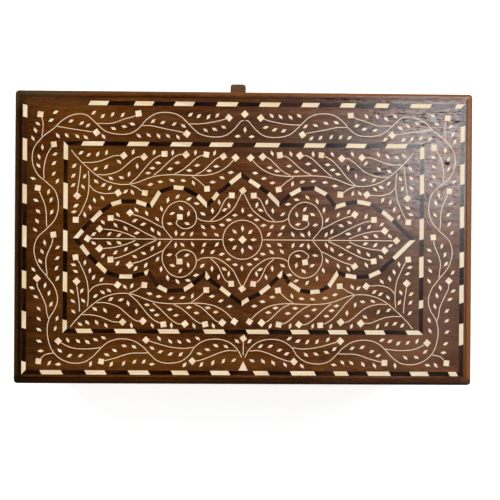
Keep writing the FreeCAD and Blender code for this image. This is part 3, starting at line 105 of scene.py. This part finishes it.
def ramp(tree, value, places, tones):
    """A value turned into tones that lie at given places."""
    node = add(tree, "ShaderNodeValToRGB", {"Fac": value})
    elements = node.color_ramp.elements
    halfway = 0.5
    while len(elements) < len(tones):
        elements.new(halfway)
    for element, place, tone in zip(elements, places, tones):
        element.position = place
        element.color = (*tone, 1)
    return node.outputs["Color"]


def step(tree, value, span, outcome=(0.0, 1.0)):
    """A value spread from a span to its outcome, held at the ends."""
    node = add(tree, "ShaderNodeMapRange", {
        "Value": value, "From Min": span[0], "From Max": span[1],
        "To Min": outcome[0], "To Max": outcome[1]})
    return node.outputs["Result"]


def sum_of(tree, first, second, kind="ADD"):
    """Two values added, subtracted, multiplied or compared."""
    node = add(tree, "ShaderNodeMath", {0: first, 1: second}, operation=kind)
    return node.outputs["Value"]


def times(tree, first, second):
    """Two values multiplied."""
    return sum_of(tree, first, second, "MULTIPLY")


def larger(tree, first, second):
    """The larger of two values."""
    return sum_of(tree, first, second, "MAXIMUM")


def size_of(tree, value):
    """A value without its sign."""
    return add(tree, "ShaderNodeMath", {0: value}, operation="ABSOLUTE").outputs["Value"]


def mix(tree, share, first, second):
    """Two colours mixed by a share of the second."""
    node = tree.nodes.new("ShaderNodeMix")
    node.data_type = "RGBA"
    sockets = {"Factor_Float": share, "A_Color": first, "B_Color": second}
    for socket in node.inputs:
        value = sockets.get(socket.identifier)
        if value is None:
            continue
        if isinstance(value, bpy.types.NodeSocket):
            tree.links.new(value, socket)
        else:
            socket.default_value = (*value, 1) if isinstance(value, tuple) else value
    return next(out for out in node.outputs if out.identifier == "Result_Color")


def tint(tree, colour, where, strength, tone):
    """A colour with a tone laid over it, at its full strength where a value is one."""
    return mix(tree, times(tree, where, strength), colour, tone)


def fade(tree, colour, value, span, strength, tone):
    """A colour with a tone that sets in as a value passes over a span, up to its full strength."""
    return mix(tree, step(tree, value, span, (0.0, strength)), colour, tone)


def darker(tone, share):
    """A share of a tone's light."""
    return tuple(share * part for part in tone)


def noise(tree, place, kind, closer=()):
    """A noise that runs closer along some of the axes."""
    stretch = tuple(kind.across if axis in closer else 1.0 for axis in AXES)
    mapping = add(tree, "ShaderNodeMapping", {"Vector": place, "Scale": stretch})
    node = add(tree, "ShaderNodeTexNoise", {
        "Vector": mapping.outputs["Vector"], "Scale": kind.repeats, "Detail": kind.detail,
        "Roughness": kind.roughness, "Distortion": kind.distortion})
    return node.outputs["Fac"]


def surface(name, **constants):
    """A new material, its shader and the places on the object."""
    material = bpy.data.materials.new(name)
    material.use_nodes = True
    tree = material.node_tree
    shader = tree.nodes["Principled BSDF"]
    for socket, value in constants.items():
        shader.inputs[socket.replace("_", " ")].default_value = value
    place = add(tree, "ShaderNodeTexCoord").outputs["Object"]
    return material, tree, shader, place


def connect(tree, shader, **sockets):
    """Links outputs to the shader's inputs."""
    for name, output in sockets.items():
        tree.links.new(output, shader.inputs[name.replace("_", " ")])


def bump(tree, height, depth, strength=1.0):
    """A bump from a height, with its depth in metres."""
    node = add(tree, "ShaderNodeBump", {"Height": height, "Distance": depth, "Strength": strength})
    return node.outputs["Normal"]


def axis_of(tree, place, axis):
    """One coordinate of a place or a direction."""
    return add(tree, "ShaderNodeSeparateXYZ", {"Vector": place}).outputs["XYZ"[axis]]


# How far out a spot stays whole, as a share of its reach, and a reach down through the whole box
SPOT_CORE = 0.25
RIGHT_THROUGH = 1.0


def lid_spot(tree, place, middle, reach, reach_down=RIGHT_THROUGH):
    """One in the middle of an oval spot on the lid, falling to nothing at its edge."""
    moved = add(tree, "ShaderNodeVectorMath", {0: place, 1: (*middle, LID_TOP)},
                operation="SUBTRACT")
    scaled = add(tree, "ShaderNodeVectorMath",
                 {0: moved.outputs["Vector"], 1: (*reach, reach_down)}, operation="DIVIDE")
    length = add(tree, "ShaderNodeVectorMath", {0: scaled.outputs["Vector"]}, operation="LENGTH")
    return step(tree, length.outputs["Value"], (SPOT_CORE, 1.0), (1.0, 0.0))


# A noise mostly lies in this span, and gloss changes over it
NOISE_SPAN = (0.3, 0.7)

# The wood's broad figure, its streaks, fine grain and pores, the rings in a cut end, and the
# unevenness of a planed face
FIGURE = Noise(7.0, across=4.0, detail=3.0)
STREAKS = Noise(20.0, across=9.0, detail=8.0, roughness=0.60, distortion=0.3)
FINE_GRAIN = Noise(150.0, across=7.0, detail=5.0, roughness=0.70)
PORES = Noise(210.0, across=9.0, detail=2.0)
RINGS = Noise(420.0, detail=3.0, roughness=0.6)
UNEVENNESS = Noise(30.0, across=2.5, detail=2.0)

# How the figure and the streaks add up, and where the four tones lie in their sum
FIGURE_SHARE = 0.38
STREAK_SHARE = 0.62
WOOD_TONE_PLACES = (0.34, 0.46, 0.56, 0.68)

# Where the fine grain turns darkest and lightest, and how strongly
DARK_GRAIN_SPAN = (0.40, 0.68)
DARK_GRAIN = 0.62
LIGHT_GRAIN_SPAN = (0.52, 0.30)
LIGHT_GRAIN = 0.45

# Pores: where they open, how strongly they show, how much of the darkest tone's light they keep,
# and how rough they are
PORE_SPAN = (0.56, 0.66)
PORE_STRENGTH = 0.60
PORE_LIGHT = 0.45
PORE_ROUGHNESS = 0.65

# Cut ends: how squarely a face looks along the grain there, how strongly they show, where their
# tones lie among the rings, and how much of the darkest tone's light the deepest ring keeps
CUT_END_SPAN = (0.70, 0.90)
CUT_END_STRENGTH = 0.85
RING_PLACES = (0.38, 0.50, 0.66)
RING_LIGHT = 0.25

# How much smoother and rougher the wood is over its streaks, and the relief of its face
STREAK_SPAN = (0.25, 0.75)
SMOOTHER_STREAK = 0.05
ROUGHER_STREAK = 0.08
GRAIN_HEIGHT = 0.12
PORE_DEPTH = 0.10
WOOD_RELIEF = 0.00022

# Each wood's figure starts elsewhere, moved by these ratios along x, y and z
START_RATIOS = (1.0, 0.7, 1.3)


def wood(name, axis, tones, roughness, shine, start, stain_and_painted_light):
    """Waxed wood with its grain along one axis: tones from dark to light, and a stain with painted
    light and shade if any.
    """
    darkest, dark, _, lightest = tones
    material, tree, shader, object_place = surface(name, Specular_IOR_Level=shine)
    offset = add(tree, "ShaderNodeVectorMath",
                 {0: object_place, 1: tuple(start * ratio for ratio in START_RATIOS)})
    place = offset.outputs["Vector"]
    across = [other for other in AXES if other != axis]
    broad = noise(tree, place, FIGURE, across)
    streak = noise(tree, place, STREAKS, across)
    fine = noise(tree, place, FINE_GRAIN, across)
    pores = step(tree, noise(tree, place, PORES, across), PORE_SPAN)
    figure = sum_of(tree, times(tree, broad, FIGURE_SHARE), times(tree, streak, STREAK_SHARE))
    colour = ramp(tree, figure, WOOD_TONE_PLACES, tones)
    colour = fade(tree, colour, fine, DARK_GRAIN_SPAN, DARK_GRAIN, darkest)
    colour = fade(tree, colour, fine, LIGHT_GRAIN_SPAN, LIGHT_GRAIN, lightest)
    colour = tint(tree, colour, pores, PORE_STRENGTH, darker(darkest, PORE_LIGHT))
    rings = ramp(tree, noise(tree, place, RINGS), RING_PLACES,
                 (darker(darkest, RING_LIGHT), darkest, dark))
    normal = add(tree, "ShaderNodeTexCoord").outputs["Normal"]
    squarely = size_of(tree, axis_of(tree, normal, axis))
    colour = fade(tree, colour, squarely, CUT_END_SPAN, CUT_END_STRENGTH, rings)
    rough = step(tree, streak, STREAK_SPAN,
                 (roughness - SMOOTHER_STREAK, roughness + ROUGHER_STREAK))
    rough = larger(tree, rough, times(tree, pores, PORE_ROUGHNESS))
    # the stains also carry painted shade, painted highlights and a painted reflection veil in their
    # colour
    if stain_and_painted_light:
        colour, matt = stain_and_painted_light(tree, object_place, colour)
        rough = larger(tree, rough, matt)
    height = sum_of(tree, times(tree, fine, GRAIN_HEIGHT), times(tree, pores, PORE_DEPTH),
                    "SUBTRACT")
    height = sum_of(tree, height, noise(tree, place, UNEVENNESS, across))
    relief = bump(tree, height, WOOD_RELIEF)
    connect(tree, shader, Base_Color=colour, Roughness=rough, Normal=relief)
    return material


# The marks of age and of painted light and shade lie where the photograph has them, so their
# left is +x and their right is -x. Clouds of darker or lighter wood on the lid, and one painted
# veil of reflection: middle, reach, how strong, and tone
LID_CLOUDS_AND_PAINTED_VEIL = (
    ((-0.010, -0.092), (0.070, 0.026), 0.60, (0.040, 0.018, 0.008)),
    ((-0.090, -0.087), (0.060, 0.018), 0.75, (0.036, 0.022, 0.015)),
    ((0.132, 0.040), (0.110, 0.060), 0.45, (0.040, 0.014, 0.002)),
    ((0.010, 0.054), (0.030, 0.013), 0.55, (0.045, 0.013, 0.003)),
    ((-0.080, 0.080), (0.018, 0.010), 0.60, (0.050, 0.016, 0.005)),
    ((0.105, -0.052), (0.120, 0.040), 0.45, (0.150, 0.056, 0.004)),
    ((0.072, 0.105), (0.110, 0.016), 0.45, (0.140, 0.054, 0.006)),
    ((-0.060, 0.054), (0.062, 0.034), 0.60, (0.190, 0.068, 0.014)),
    # a lighter mauve cloud: a painted veil of reflection over the lower right
    ((-0.166, 0.072), (0.034, 0.050), 0.55, (0.130, 0.058, 0.036)),
    ((0.150, -0.105), (0.060, 0.014), 0.40, (0.140, 0.050, 0.006)),
    ((0.162, 0.094), (0.050, 0.034), 0.50, (0.036, 0.013, 0.002)),
    ((-0.134, 0.094), (0.050, 0.030), 0.50, (0.200, 0.085, 0.040)),
    ((0.066, -0.094), (0.070, 0.022), 0.50, (0.040, 0.014, 0.002)),
)
# How ragged the clouds are, and the share of one that is left where it is thinnest
RAGGED_CLOUDS = Noise(28.0, across=2.0)
RAGGED_SPAN = (0.30, 0.60)
THINNEST_CLOUD = 0.35

# The dark left end of the lid's boards: where it sets in along x, how strong it is, and its tone
BOARDS_LEFT_END = ((0.168, 0.194), 0.55, (0.016, 0.006, 0.002))

# A knot in the lid, and a corner that the inner border has lost: middle and reach
KNOT = ((-0.1759, -0.0665), (0.0036, 0.0030))
KNOT_TONE = (0.012, 0.005, 0.003)
KNOT_ROUGHNESS = 0.85
LOST_CORNER = ((-0.1573, -0.0815), (0.0036, 0.0026))
LOST_CORNER_RIM = (0.0, 0.5)
LOST_TONE = (0.004, 0.003, 0.003)

# Where the lid's wood has cracked and lost small chips: middle and reach
CRACKED_PLACES = (
    ((-0.160, -0.107), (0.048, 0.010)),
    ((-0.112, -0.1125), (0.030, 0.005)),
    ((-0.104, -0.060), (0.030, 0.006)),
)
CRACKS = Noise(90.0, across=14.0, detail=5.0, roughness=0.7)
CRACK_SPAN = (0.55, 0.60)
CRACKED_RIM = (0.0, 0.4)


def lid_stain_and_painted_veil(tree, place, colour):
    """Age on the lid and one painted veil of reflection: clouds in the wood, a dark left end, a
    knot, cracks and lost chips.
    """
    ragged = noise(tree, place, RAGGED_CLOUDS, ACROSS_TOP)
    # one of these clouds is a painted veil of reflection rather than wood
    for middle, reach, share, tone in LID_CLOUDS_AND_PAINTED_VEIL:
        thinned = step(tree, ragged, RAGGED_SPAN, (THINNEST_CLOUD * share, share))
        colour = mix(tree, times(tree, lid_spot(tree, place, middle, reach), thinned), colour, tone)
    colour = fade(tree, colour, axis_of(tree, place, ALONG_X), *BOARDS_LEFT_END)
    knot = lid_spot(tree, place, *KNOT)
    colour = mix(tree, knot, colour, KNOT_TONE)
    matt = times(tree, knot, KNOT_ROUGHNESS)
    cracks = step(tree, noise(tree, place, CRACKS, ACROSS_TOP), CRACK_SPAN)
    for middle, reach in CRACKED_PLACES:
        near = step(tree, lid_spot(tree, place, middle, reach), CRACKED_RIM)
        lost = times(tree, cracks, near)
        colour = mix(tree, lost, colour, LOST_TONE)
        matt = larger(tree, matt, lost)
    return colour, matt


# The moulded edge carries painted shade at its left, where its round faces away from the light, a
# painted highlight at its right, where the light falls, and painted shade along its back: where
# each sets in along x or y, how strong it is, and its tone
LEFT_SHADE_ON_MOULDING = ((0.150, 0.192), 0.90, (0.006, 0.003, 0.001))
RIGHT_HIGHLIGHT_ON_MOULDING = ((-0.186, -0.192), 0.55, (0.200, 0.085, 0.034))
BACK_SHADE_SPAN = (LID_HALF_WIDTH - 0.0075, LID_HALF_WIDTH - 0.0025)
BACK_SHADE_STRENGTH = 0.75
BACK_SHADE_TONE = (0.013, 0.004, 0.001)

# One corner of it has gone grey: middle, reach and reach down, and then how strong, and tone
GREY_CORNER = ((0.175, -0.121), (0.045, 0.014), 0.05)
GREY_STRENGTH = 0.6
GREY_TONE = (0.060, 0.045, 0.022)

# Its round is rubbed bare and also carries a painted highlight, faint at the left and strong at the
# right where the light falls: between which insets and heights that sets in, how much of it there
# is lower down, its tone, how ragged its line is, and how strong it is from the left to past the
# middle
RUBBED_INSETS = (-0.0040, -0.0022)
RUBBED_HEIGHTS = (LID_TOP - 0.0035, LID_TOP - 0.0016)
RUBBED_LOWER_DOWN = 0.12
ROUND_RUB_AND_HIGHLIGHT_TONE = (0.220, 0.076, 0.018)
RAGGED_RUB = Noise(160.0)
RAGGED_RUB_WIDTH = 0.0006
ROUND_HIGHLIGHT_PLACES = (0.19, -0.06)
ROUND_HIGHLIGHT_STRENGTHS = (0.15, 0.85)

# Its front has lost chips along one line: middle and reach of the line, and the chips in it
CHIPPED_LINE = ((-0.082, -0.1212), (0.026, 0.0013))
CHIPS = Noise(420.0, across=1.5, detail=3.0)
CHIP_SPAN = (0.46, 0.54)
CHIP_GAIN = 1.4
CHIP_TONE = (0.004, 0.003, 0.002)


def edge_distance(tree, along, half):
    """How far a place is outside a pair of edges, and less than nothing inside them."""
    return sum_of(tree, size_of(tree, along), half, "SUBTRACT")


def edge_stain_and_painted_light(tree, place, colour):
    """Age and painted light on the moulded edge: painted shade at the left and back, a painted
    highlight at the right, greyed at one corner, rubbed bare and highlit on its round.
    """
    along, deep, upright = (axis_of(tree, place, axis) for axis in AXES)
    # painted shade: the left end of the edge darkened where its round faces away from the light
    colour = fade(tree, colour, along, *LEFT_SHADE_ON_MOULDING)
    colour = tint(tree, colour, lid_spot(tree, place, *GREY_CORNER), GREY_STRENGTH, GREY_TONE)
    # painted highlight: the right end of the edge made paler and warmer where the light falls on it
    colour = fade(tree, colour, along, *RIGHT_HIGHLIGHT_ON_MOULDING)
    inset = larger(tree, edge_distance(tree, along, LID_HALF_LENGTH),
                   edge_distance(tree, deep, LID_HALF_WIDTH))
    ragged = step(tree, noise(tree, place, RAGGED_RUB), NOISE_SPAN,
                  (-RAGGED_RUB_WIDTH, RAGGED_RUB_WIDTH))
    outside = step(tree, sum_of(tree, inset, ragged), RUBBED_INSETS)
    high = step(tree, upright, RUBBED_HEIGHTS, (RUBBED_LOWER_DOWN, 1.0))
    # the round's rubbed bare wood together with its painted highlight, strongest towards the right
    rubbed_and_highlit = times(tree, times(tree, outside, high), step(tree, along, ROUND_HIGHLIGHT_PLACES, ROUND_HIGHLIGHT_STRENGTHS))
    # painted shade along the back of the edge, which also takes the painted highlight off the round
    # there
    back_shade = step(tree, deep, BACK_SHADE_SPAN)
    rubbed_and_highlit = sum_of(tree, rubbed_and_highlit, back_shade, "SUBTRACT")
    colour = mix(tree, larger(tree, rubbed_and_highlit, 0.0), colour, ROUND_RUB_AND_HIGHLIGHT_TONE)
    colour = tint(tree, colour, back_shade, BACK_SHADE_STRENGTH, BACK_SHADE_TONE)
    chips = step(tree, noise(tree, place, CHIPS, ACROSS_TOP), CHIP_SPAN)
    lost = times(tree, times(tree, chips, lid_spot(tree, place, *CHIPPED_LINE)), CHIP_GAIN)
    lost = sum_of(tree, lost, 1.0, "MINIMUM")
    return mix(tree, lost, colour, CHIP_TONE), lost


def lose_corner(tree, place, colour, rough):
    """Blackens the corner of the inner border where a bit has broken away."""
    lost = step(tree, lid_spot(tree, place, *LOST_CORNER), LOST_CORNER_RIM)
    return mix(tree, lost, colour, LOST_TONE), larger(tree, rough, lost)


# Bone: its streaks and pits, and how it turns paler and greyer towards the right, each with where it
# sets in, how strong it is, and its tone
BONE_SHINE = 0.3
BONE_STREAKS = Noise(260.0, across=5.0, detail=5.0, roughness=0.6)
BONE_STREAK = ((0.42, 0.75), 0.35, (0.62, 0.40, 0.22))
BONE_PALER_TO_RIGHT = ((0.0, -0.15), 0.55, (0.64, 0.58, 0.45))
BONE_PITS = Noise(1300.0, across=2.5, detail=2.0)
PIT_SPAN = (0.66, 0.74)
PIT_STRENGTH = 0.5
PIT_TONE = (0.25, 0.14, 0.07)
BONE_ROUGHNESS = (0.41, 0.57)
BONE_RELIEF = 0.00003
BONE_BUMP = 0.5


def bone(name, tones):
    """Bone: each piece of its own tone, with fine streaks and dark pits."""
    material, tree, shader, place = surface(name, Specular_IOR_Level=BONE_SHINE)
    each = add(tree, "ShaderNodeNewGeometry").outputs["Random Per Island"]
    colour = ramp(tree, each, [index / (len(tones) - 1) for index in range(len(tones))], tones)
    streak = noise(tree, place, BONE_STREAKS, ACROSS_TOP)
    colour = fade(tree, colour, streak, *BONE_STREAK)
    colour = fade(tree, colour, axis_of(tree, place, ALONG_X), *BONE_PALER_TO_RIGHT)
    pits = step(tree, noise(tree, place, BONE_PITS, ACROSS_TOP), PIT_SPAN)
    colour = tint(tree, colour, pits, PIT_STRENGTH, PIT_TONE)
    colour, rough = lose_corner(tree, place, colour, step(tree, streak, NOISE_SPAN, BONE_ROUGHNESS))
    relief = bump(tree, sum_of(tree, streak, pits, "SUBTRACT"), BONE_RELIEF, BONE_BUMP)
    connect(tree, shader, Base_Color=colour, Roughness=rough, Normal=relief)
    return material


# Ebony: the tones of its grain; some bars are browner, and it is worn at the left
EBONY_SHINE = 0.13
EBONY_GRAIN = Noise(60.0, across=12.0, detail=6.0, roughness=0.6)
EBONY_TONE_PLACES = (0.35, 0.55, 0.72)
EBONY_TONES = ((0.004, 0.001, 0.001), (0.009, 0.003, 0.001), (0.026, 0.009, 0.003))
BROWNER_BARS = ((0.55, 0.95), 0.75, (0.034, 0.011, 0.004))
WORN_EBONY = ((0.189, -0.085), (0.030, 0.060))
WORN_STRENGTH = 0.9
WORN_TONE = (0.040, 0.015, 0.006)
EBONY_ROUGHNESS = (0.18, 0.26)
EBONY_RELIEF = 0.00003
EBONY_BUMP = 0.4


def ebony(name):
    """Ebony, nearly black with a faint brown grain."""
    material, tree, shader, place = surface(name, Specular_IOR_Level=EBONY_SHINE)
    each = add(tree, "ShaderNodeNewGeometry").outputs["Random Per Island"]
    grain = noise(tree, place, EBONY_GRAIN, ACROSS_TOP)
    colour = ramp(tree, grain, EBONY_TONE_PLACES, EBONY_TONES)
    colour = fade(tree, colour, each, *BROWNER_BARS)
    colour = tint(tree, colour, lid_spot(tree, place, *WORN_EBONY), WORN_STRENGTH, WORN_TONE)
    colour, rough = lose_corner(tree, place, colour, step(tree, grain, NOISE_SPAN, EBONY_ROUGHNESS))
    relief = bump(tree, grain, EBONY_RELIEF, EBONY_BUMP)
    connect(tree, shader, Base_Color=colour, Roughness=rough, Normal=relief)
    return material


# Old metal: patches of tarnish, and scratches that roughen it
TARNISH = Noise(160.0, detail=6.0, roughness=0.65)
SCRATCHES = Noise(900.0, across=12.0, detail=3.0)
SCRATCH_ROUGHNESS = 0.12
METAL_RELIEF = 0.00003
METAL_BUMP = 0.4


def metal(name, clean, tarnished, roughness, cover):
    """Old metal with tarnish in patches and fine scratches."""
    material, tree, shader, place = surface(name, Metallic=1.0)
    patches = noise(tree, place, TARNISH)
    scratches = noise(tree, place, SCRATCHES, (ALONG_Y, ALONG_Z))
    colour = mix(tree, step(tree, patches, cover), clean, tarnished)
    rough = sum_of(tree, step(tree, patches, NOISE_SPAN, roughness),
                   times(tree, scratches, SCRATCH_ROUGHNESS))
    relief = bump(tree, scratches, METAL_RELIEF, METAL_BUMP)
    connect(tree, shader, Base_Color=colour, Roughness=rough, Normal=relief)
    return material


# Tones of the woods, from dark to light
CASE_TONES = (
    (0.020, 0.007, 0.002), (0.052, 0.018, 0.004), (0.088, 0.031, 0.007), (0.130, 0.050, 0.012),
)
LID_TONES = (
    (0.030, 0.007, 0.001), (0.070, 0.018, 0.001), (0.120, 0.033, 0.003), (0.185, 0.060, 0.009),
)
EDGE_TONES = (
    (0.020, 0.006, 0.001), (0.048, 0.014, 0.002), (0.086, 0.025, 0.002), (0.130, 0.041, 0.005),
)
LINING_TONES = (
    (0.080, 0.040, 0.018), (0.160, 0.085, 0.038), (0.230, 0.130, 0.060), (0.300, 0.180, 0.090),
)
TAB_TONES = (
    (0.075, 0.030, 0.009), (0.120, 0.055, 0.022), (0.165, 0.082, 0.040), (0.205, 0.110, 0.060),
)
REPAIR_TONES = (
    (0.035, 0.011, 0.003), (0.065, 0.022, 0.004), (0.095, 0.034, 0.006), (0.130, 0.050, 0.010),
)

# The woods: the way of the grain, tones, roughness, shine, where the figure starts, and the stain
# with its painted light and shade
WOODS = {
    "case_wood_0": (ALONG_X, CASE_TONES, 0.40, 0.22, 0.31, None),
    "case_wood_1": (ALONG_Y, CASE_TONES, 0.40, 0.22, 0.62, None),
    "moulding_wood_0": (ALONG_X, EDGE_TONES, 0.22, 0.16, 0.53, edge_stain_and_painted_light),
    "moulding_wood_1": (ALONG_Y, EDGE_TONES, 0.26, 0.08, 1.06, edge_stain_and_painted_light),
    "plinth_wood_0": (ALONG_X, EDGE_TONES, 0.42, 0.22, 0.77, None),
    "plinth_wood_1": (ALONG_Y, EDGE_TONES, 0.42, 0.22, 1.54, None),
    "lining_wood_0": (ALONG_X, LINING_TONES, 0.60, 0.22, 0.19, None),
    "lining_wood_1": (ALONG_Y, LINING_TONES, 0.60, 0.22, 0.38, None),
    "lid_wood_front": (ALONG_X, LID_TONES, 0.21, 0.22, 0.0, lid_stain_and_painted_veil),
    "lid_wood_back": (ALONG_X, LID_TONES, 0.21, 0.22, 2.1, lid_stain_and_painted_veil),
    "tab_wood": (ALONG_X, TAB_TONES, 0.50, 0.10, 0.0, None),
    "repair_wood": (ALONG_X, REPAIR_TONES, 0.26, 0.15, 0.0, None),
}

# The tones that pieces of bone are made in: small pieces, bars and thin lines
BONES = {
    "bone": ((0.84, 0.65, 0.41), (0.87, 0.74, 0.53), (0.76, 0.50, 0.38), (0.86, 0.70, 0.46),
             (0.68, 0.52, 0.29), (0.80, 0.57, 0.42), (0.85, 0.69, 0.47)),
    "bone_bars": ((0.78, 0.62, 0.40), (0.74, 0.54, 0.30), (0.80, 0.68, 0.48), (0.68, 0.52, 0.34),
                  (0.77, 0.60, 0.38)),
    "bone_lines": ((0.86, 0.65, 0.43), (0.82, 0.60, 0.38), (0.90, 0.70, 0.49)),
}

# The metals: clean and tarnished tone, span of roughness, and where the tarnish sets in
METALS = {
    "aged_brass": ((0.42, 0.27, 0.10), (0.10, 0.055, 0.022), (0.28, 0.5), (0.42, 0.66)),
    "screw_brass": ((0.38, 0.25, 0.10), (0.07, 0.04, 0.018), (0.3, 0.5), (0.40, 0.62)),
    "pin_steel": ((0.30, 0.28, 0.26), (0.07, 0.05, 0.04), (0.3, 0.5), (0.45, 0.65)),
    "nail_iron": ((0.09, 0.08, 0.075), (0.05, 0.025, 0.012), (0.5, 0.7), (0.40, 0.6)),
}

FINISHES = {name: wood(name, *row) for name, row in WOODS.items()}
FINISHES.update({name: bone(name, tones) for name, tones in BONES.items()})
FINISHES["ebony"] = ebony("ebony")
FINISHES.update({name: metal(name, *row) for name, row in METALS.items()})

# What the names of the nodes start and end with, and the finish of each: the axis is the way that
# the grain of a board runs
STARTS = {
    "lid_rail": "case_wood_{axis}", "plinth": "plinth_wood_{axis}", "lining": "lining_wood_{axis}",
    "lid_moulding": "moulding_wood_{axis}", "bottom_board": "case_wood_0",
    "lid_board_front": "lid_wood_front", "lid_board_back": "lid_wood_back", "thumb_tab": "tab_wood",
    "outer_border_repair": "repair_wood", "floor_nails": "nail_iron",
}
ENDINGS = {
    "_wall": "case_wood_{axis}", "_leaf": "aged_brass", "_pin": "pin_steel",
    "_screws": "screw_brass", "_ebony": "ebony", "_bone": "bone_bars", "_stems": "bone_lines",
    "_ring": "bone_lines",
}


def finish_of(name):
    """The material of a node; small pieces of bone are what is left when no rule fits."""
    on_a_side = name.split("_")[1] in ("left", "right") or name.endswith(("_left", "_right"))
    rules = [finish for start, finish in STARTS.items() if name.startswith(start)]
    rules += [finish for end, finish in ENDINGS.items() if name.endswith(end)]
    rules.append("bone")
    return FINISHES[rules[0].format(axis=ALONG_Y if on_a_side else ALONG_X)]


for name, piece in NODES.items():
    piece.data.materials.clear()
    piece.data.materials.append(finish_of(name))


def area_light(name, place, sides, power, colour=WHITE):
    """A rectangular soft light over the box, facing down."""
    data = bpy.data.lights.new(name, "AREA")
    data.shape = "RECTANGLE"
    data.size, data.size_y = sides
    data.energy = power
    data.color = colour
    light = bpy.data.objects.new(name, data)
    bpy.context.scene.collection.objects.link(light)
    light.location = place
    return light


for angle, power in SIDE_LIGHTS:
    turn = math.radians(angle)
    place = (SIDE_LIGHT_DISTANCE * math.cos(turn), SIDE_LIGHT_DISTANCE * math.sin(turn),
             SIDE_LIGHT_HEIGHT)
    side_light = area_light(f"side_{angle}", place, SIDE_LIGHT_SIDES, power)
    aim = Vector(SIDE_LIGHT_AIM) - side_light.location
    side_light.rotation_euler = aim.to_track_quat("-Z", "Y").to_euler()
    side_light.visible_glossy = False

for name, row in SHEENS.items():
    sheen = area_light(name, *row)
    sheen.visible_diffuse = False

world = bpy.data.worlds.new("studio")
bpy.context.scene.world = world
world.use_nodes = True
sky = world.node_tree
background = sky.nodes["Background"]
background.inputs["Color"].default_value = (*WHITE, 1.0)
rays = add(sky, "ShaderNodeLightPath").outputs
upward = axis_of(sky, add(sky, "ShaderNodeTexCoord").outputs["Generated"], ALONG_Z)
mirrored = step(sky, upward, MIRRORED_DIRECTIONS, MIRRORED_ROOM)
around = add(sky, "ShaderNodeMix",
             {"Factor": rays["Is Glossy Ray"], "A": ROOM_LIGHT, "B": mirrored})
strength = sum_of(sky, around.outputs["Result"], rays["Is Camera Ray"])
sky.links.new(strength, background.inputs["Strength"])

bpy.ops.mesh.primitive_plane_add(size=FLOOR_SIDE)
floor = bpy.context.object
floor.name = "floor"
floor_material, floor_tree, floor_shader, floor_place = surface(
    "floor", Roughness=FLOOR_ROUGHNESS, Specular_IOR_Level=FLOOR_SHINE,
    Emission_Color=(*WHITE, 1.0))
floor_tone = ramp(floor_tree, noise(floor_tree, floor_place, FLOOR_PATCHES),
                  FLOOR_TONE_PLACES, FLOOR_TONES)
floor_rays = add(floor_tree, "ShaderNodeLightPath").outputs
seen = sum_of(floor_tree, floor_rays["Is Camera Ray"], floor_rays["Is Glossy Ray"])
away = add(floor_tree, "ShaderNodeVectorMath", {0: floor_place}, operation="LENGTH")
lift = step(floor_tree, away.outputs["Value"], FLOOR_LIFT_DISTANCES, FLOOR_LIFT)
connect(floor_tree, floor_shader, Base_Color=floor_tone,
        Emission_Strength=times(floor_tree, seen, lift))
floor.data.materials.append(floor_material)

camera_data = bpy.data.cameras.new("camera")
camera_data.sensor_width = CAMERA_SENSOR
camera_data.lens = CAMERA_LENS
camera = bpy.data.objects.new("camera", camera_data)
bpy.context.scene.collection.objects.link(camera)
camera.location = CAMERA_PLACE
camera.rotation_euler = [math.radians(angle) for angle in CAMERA_TURN]
bpy.context.scene.camera = camera
bpy.context.scene.view_settings.view_transform = "Standard"
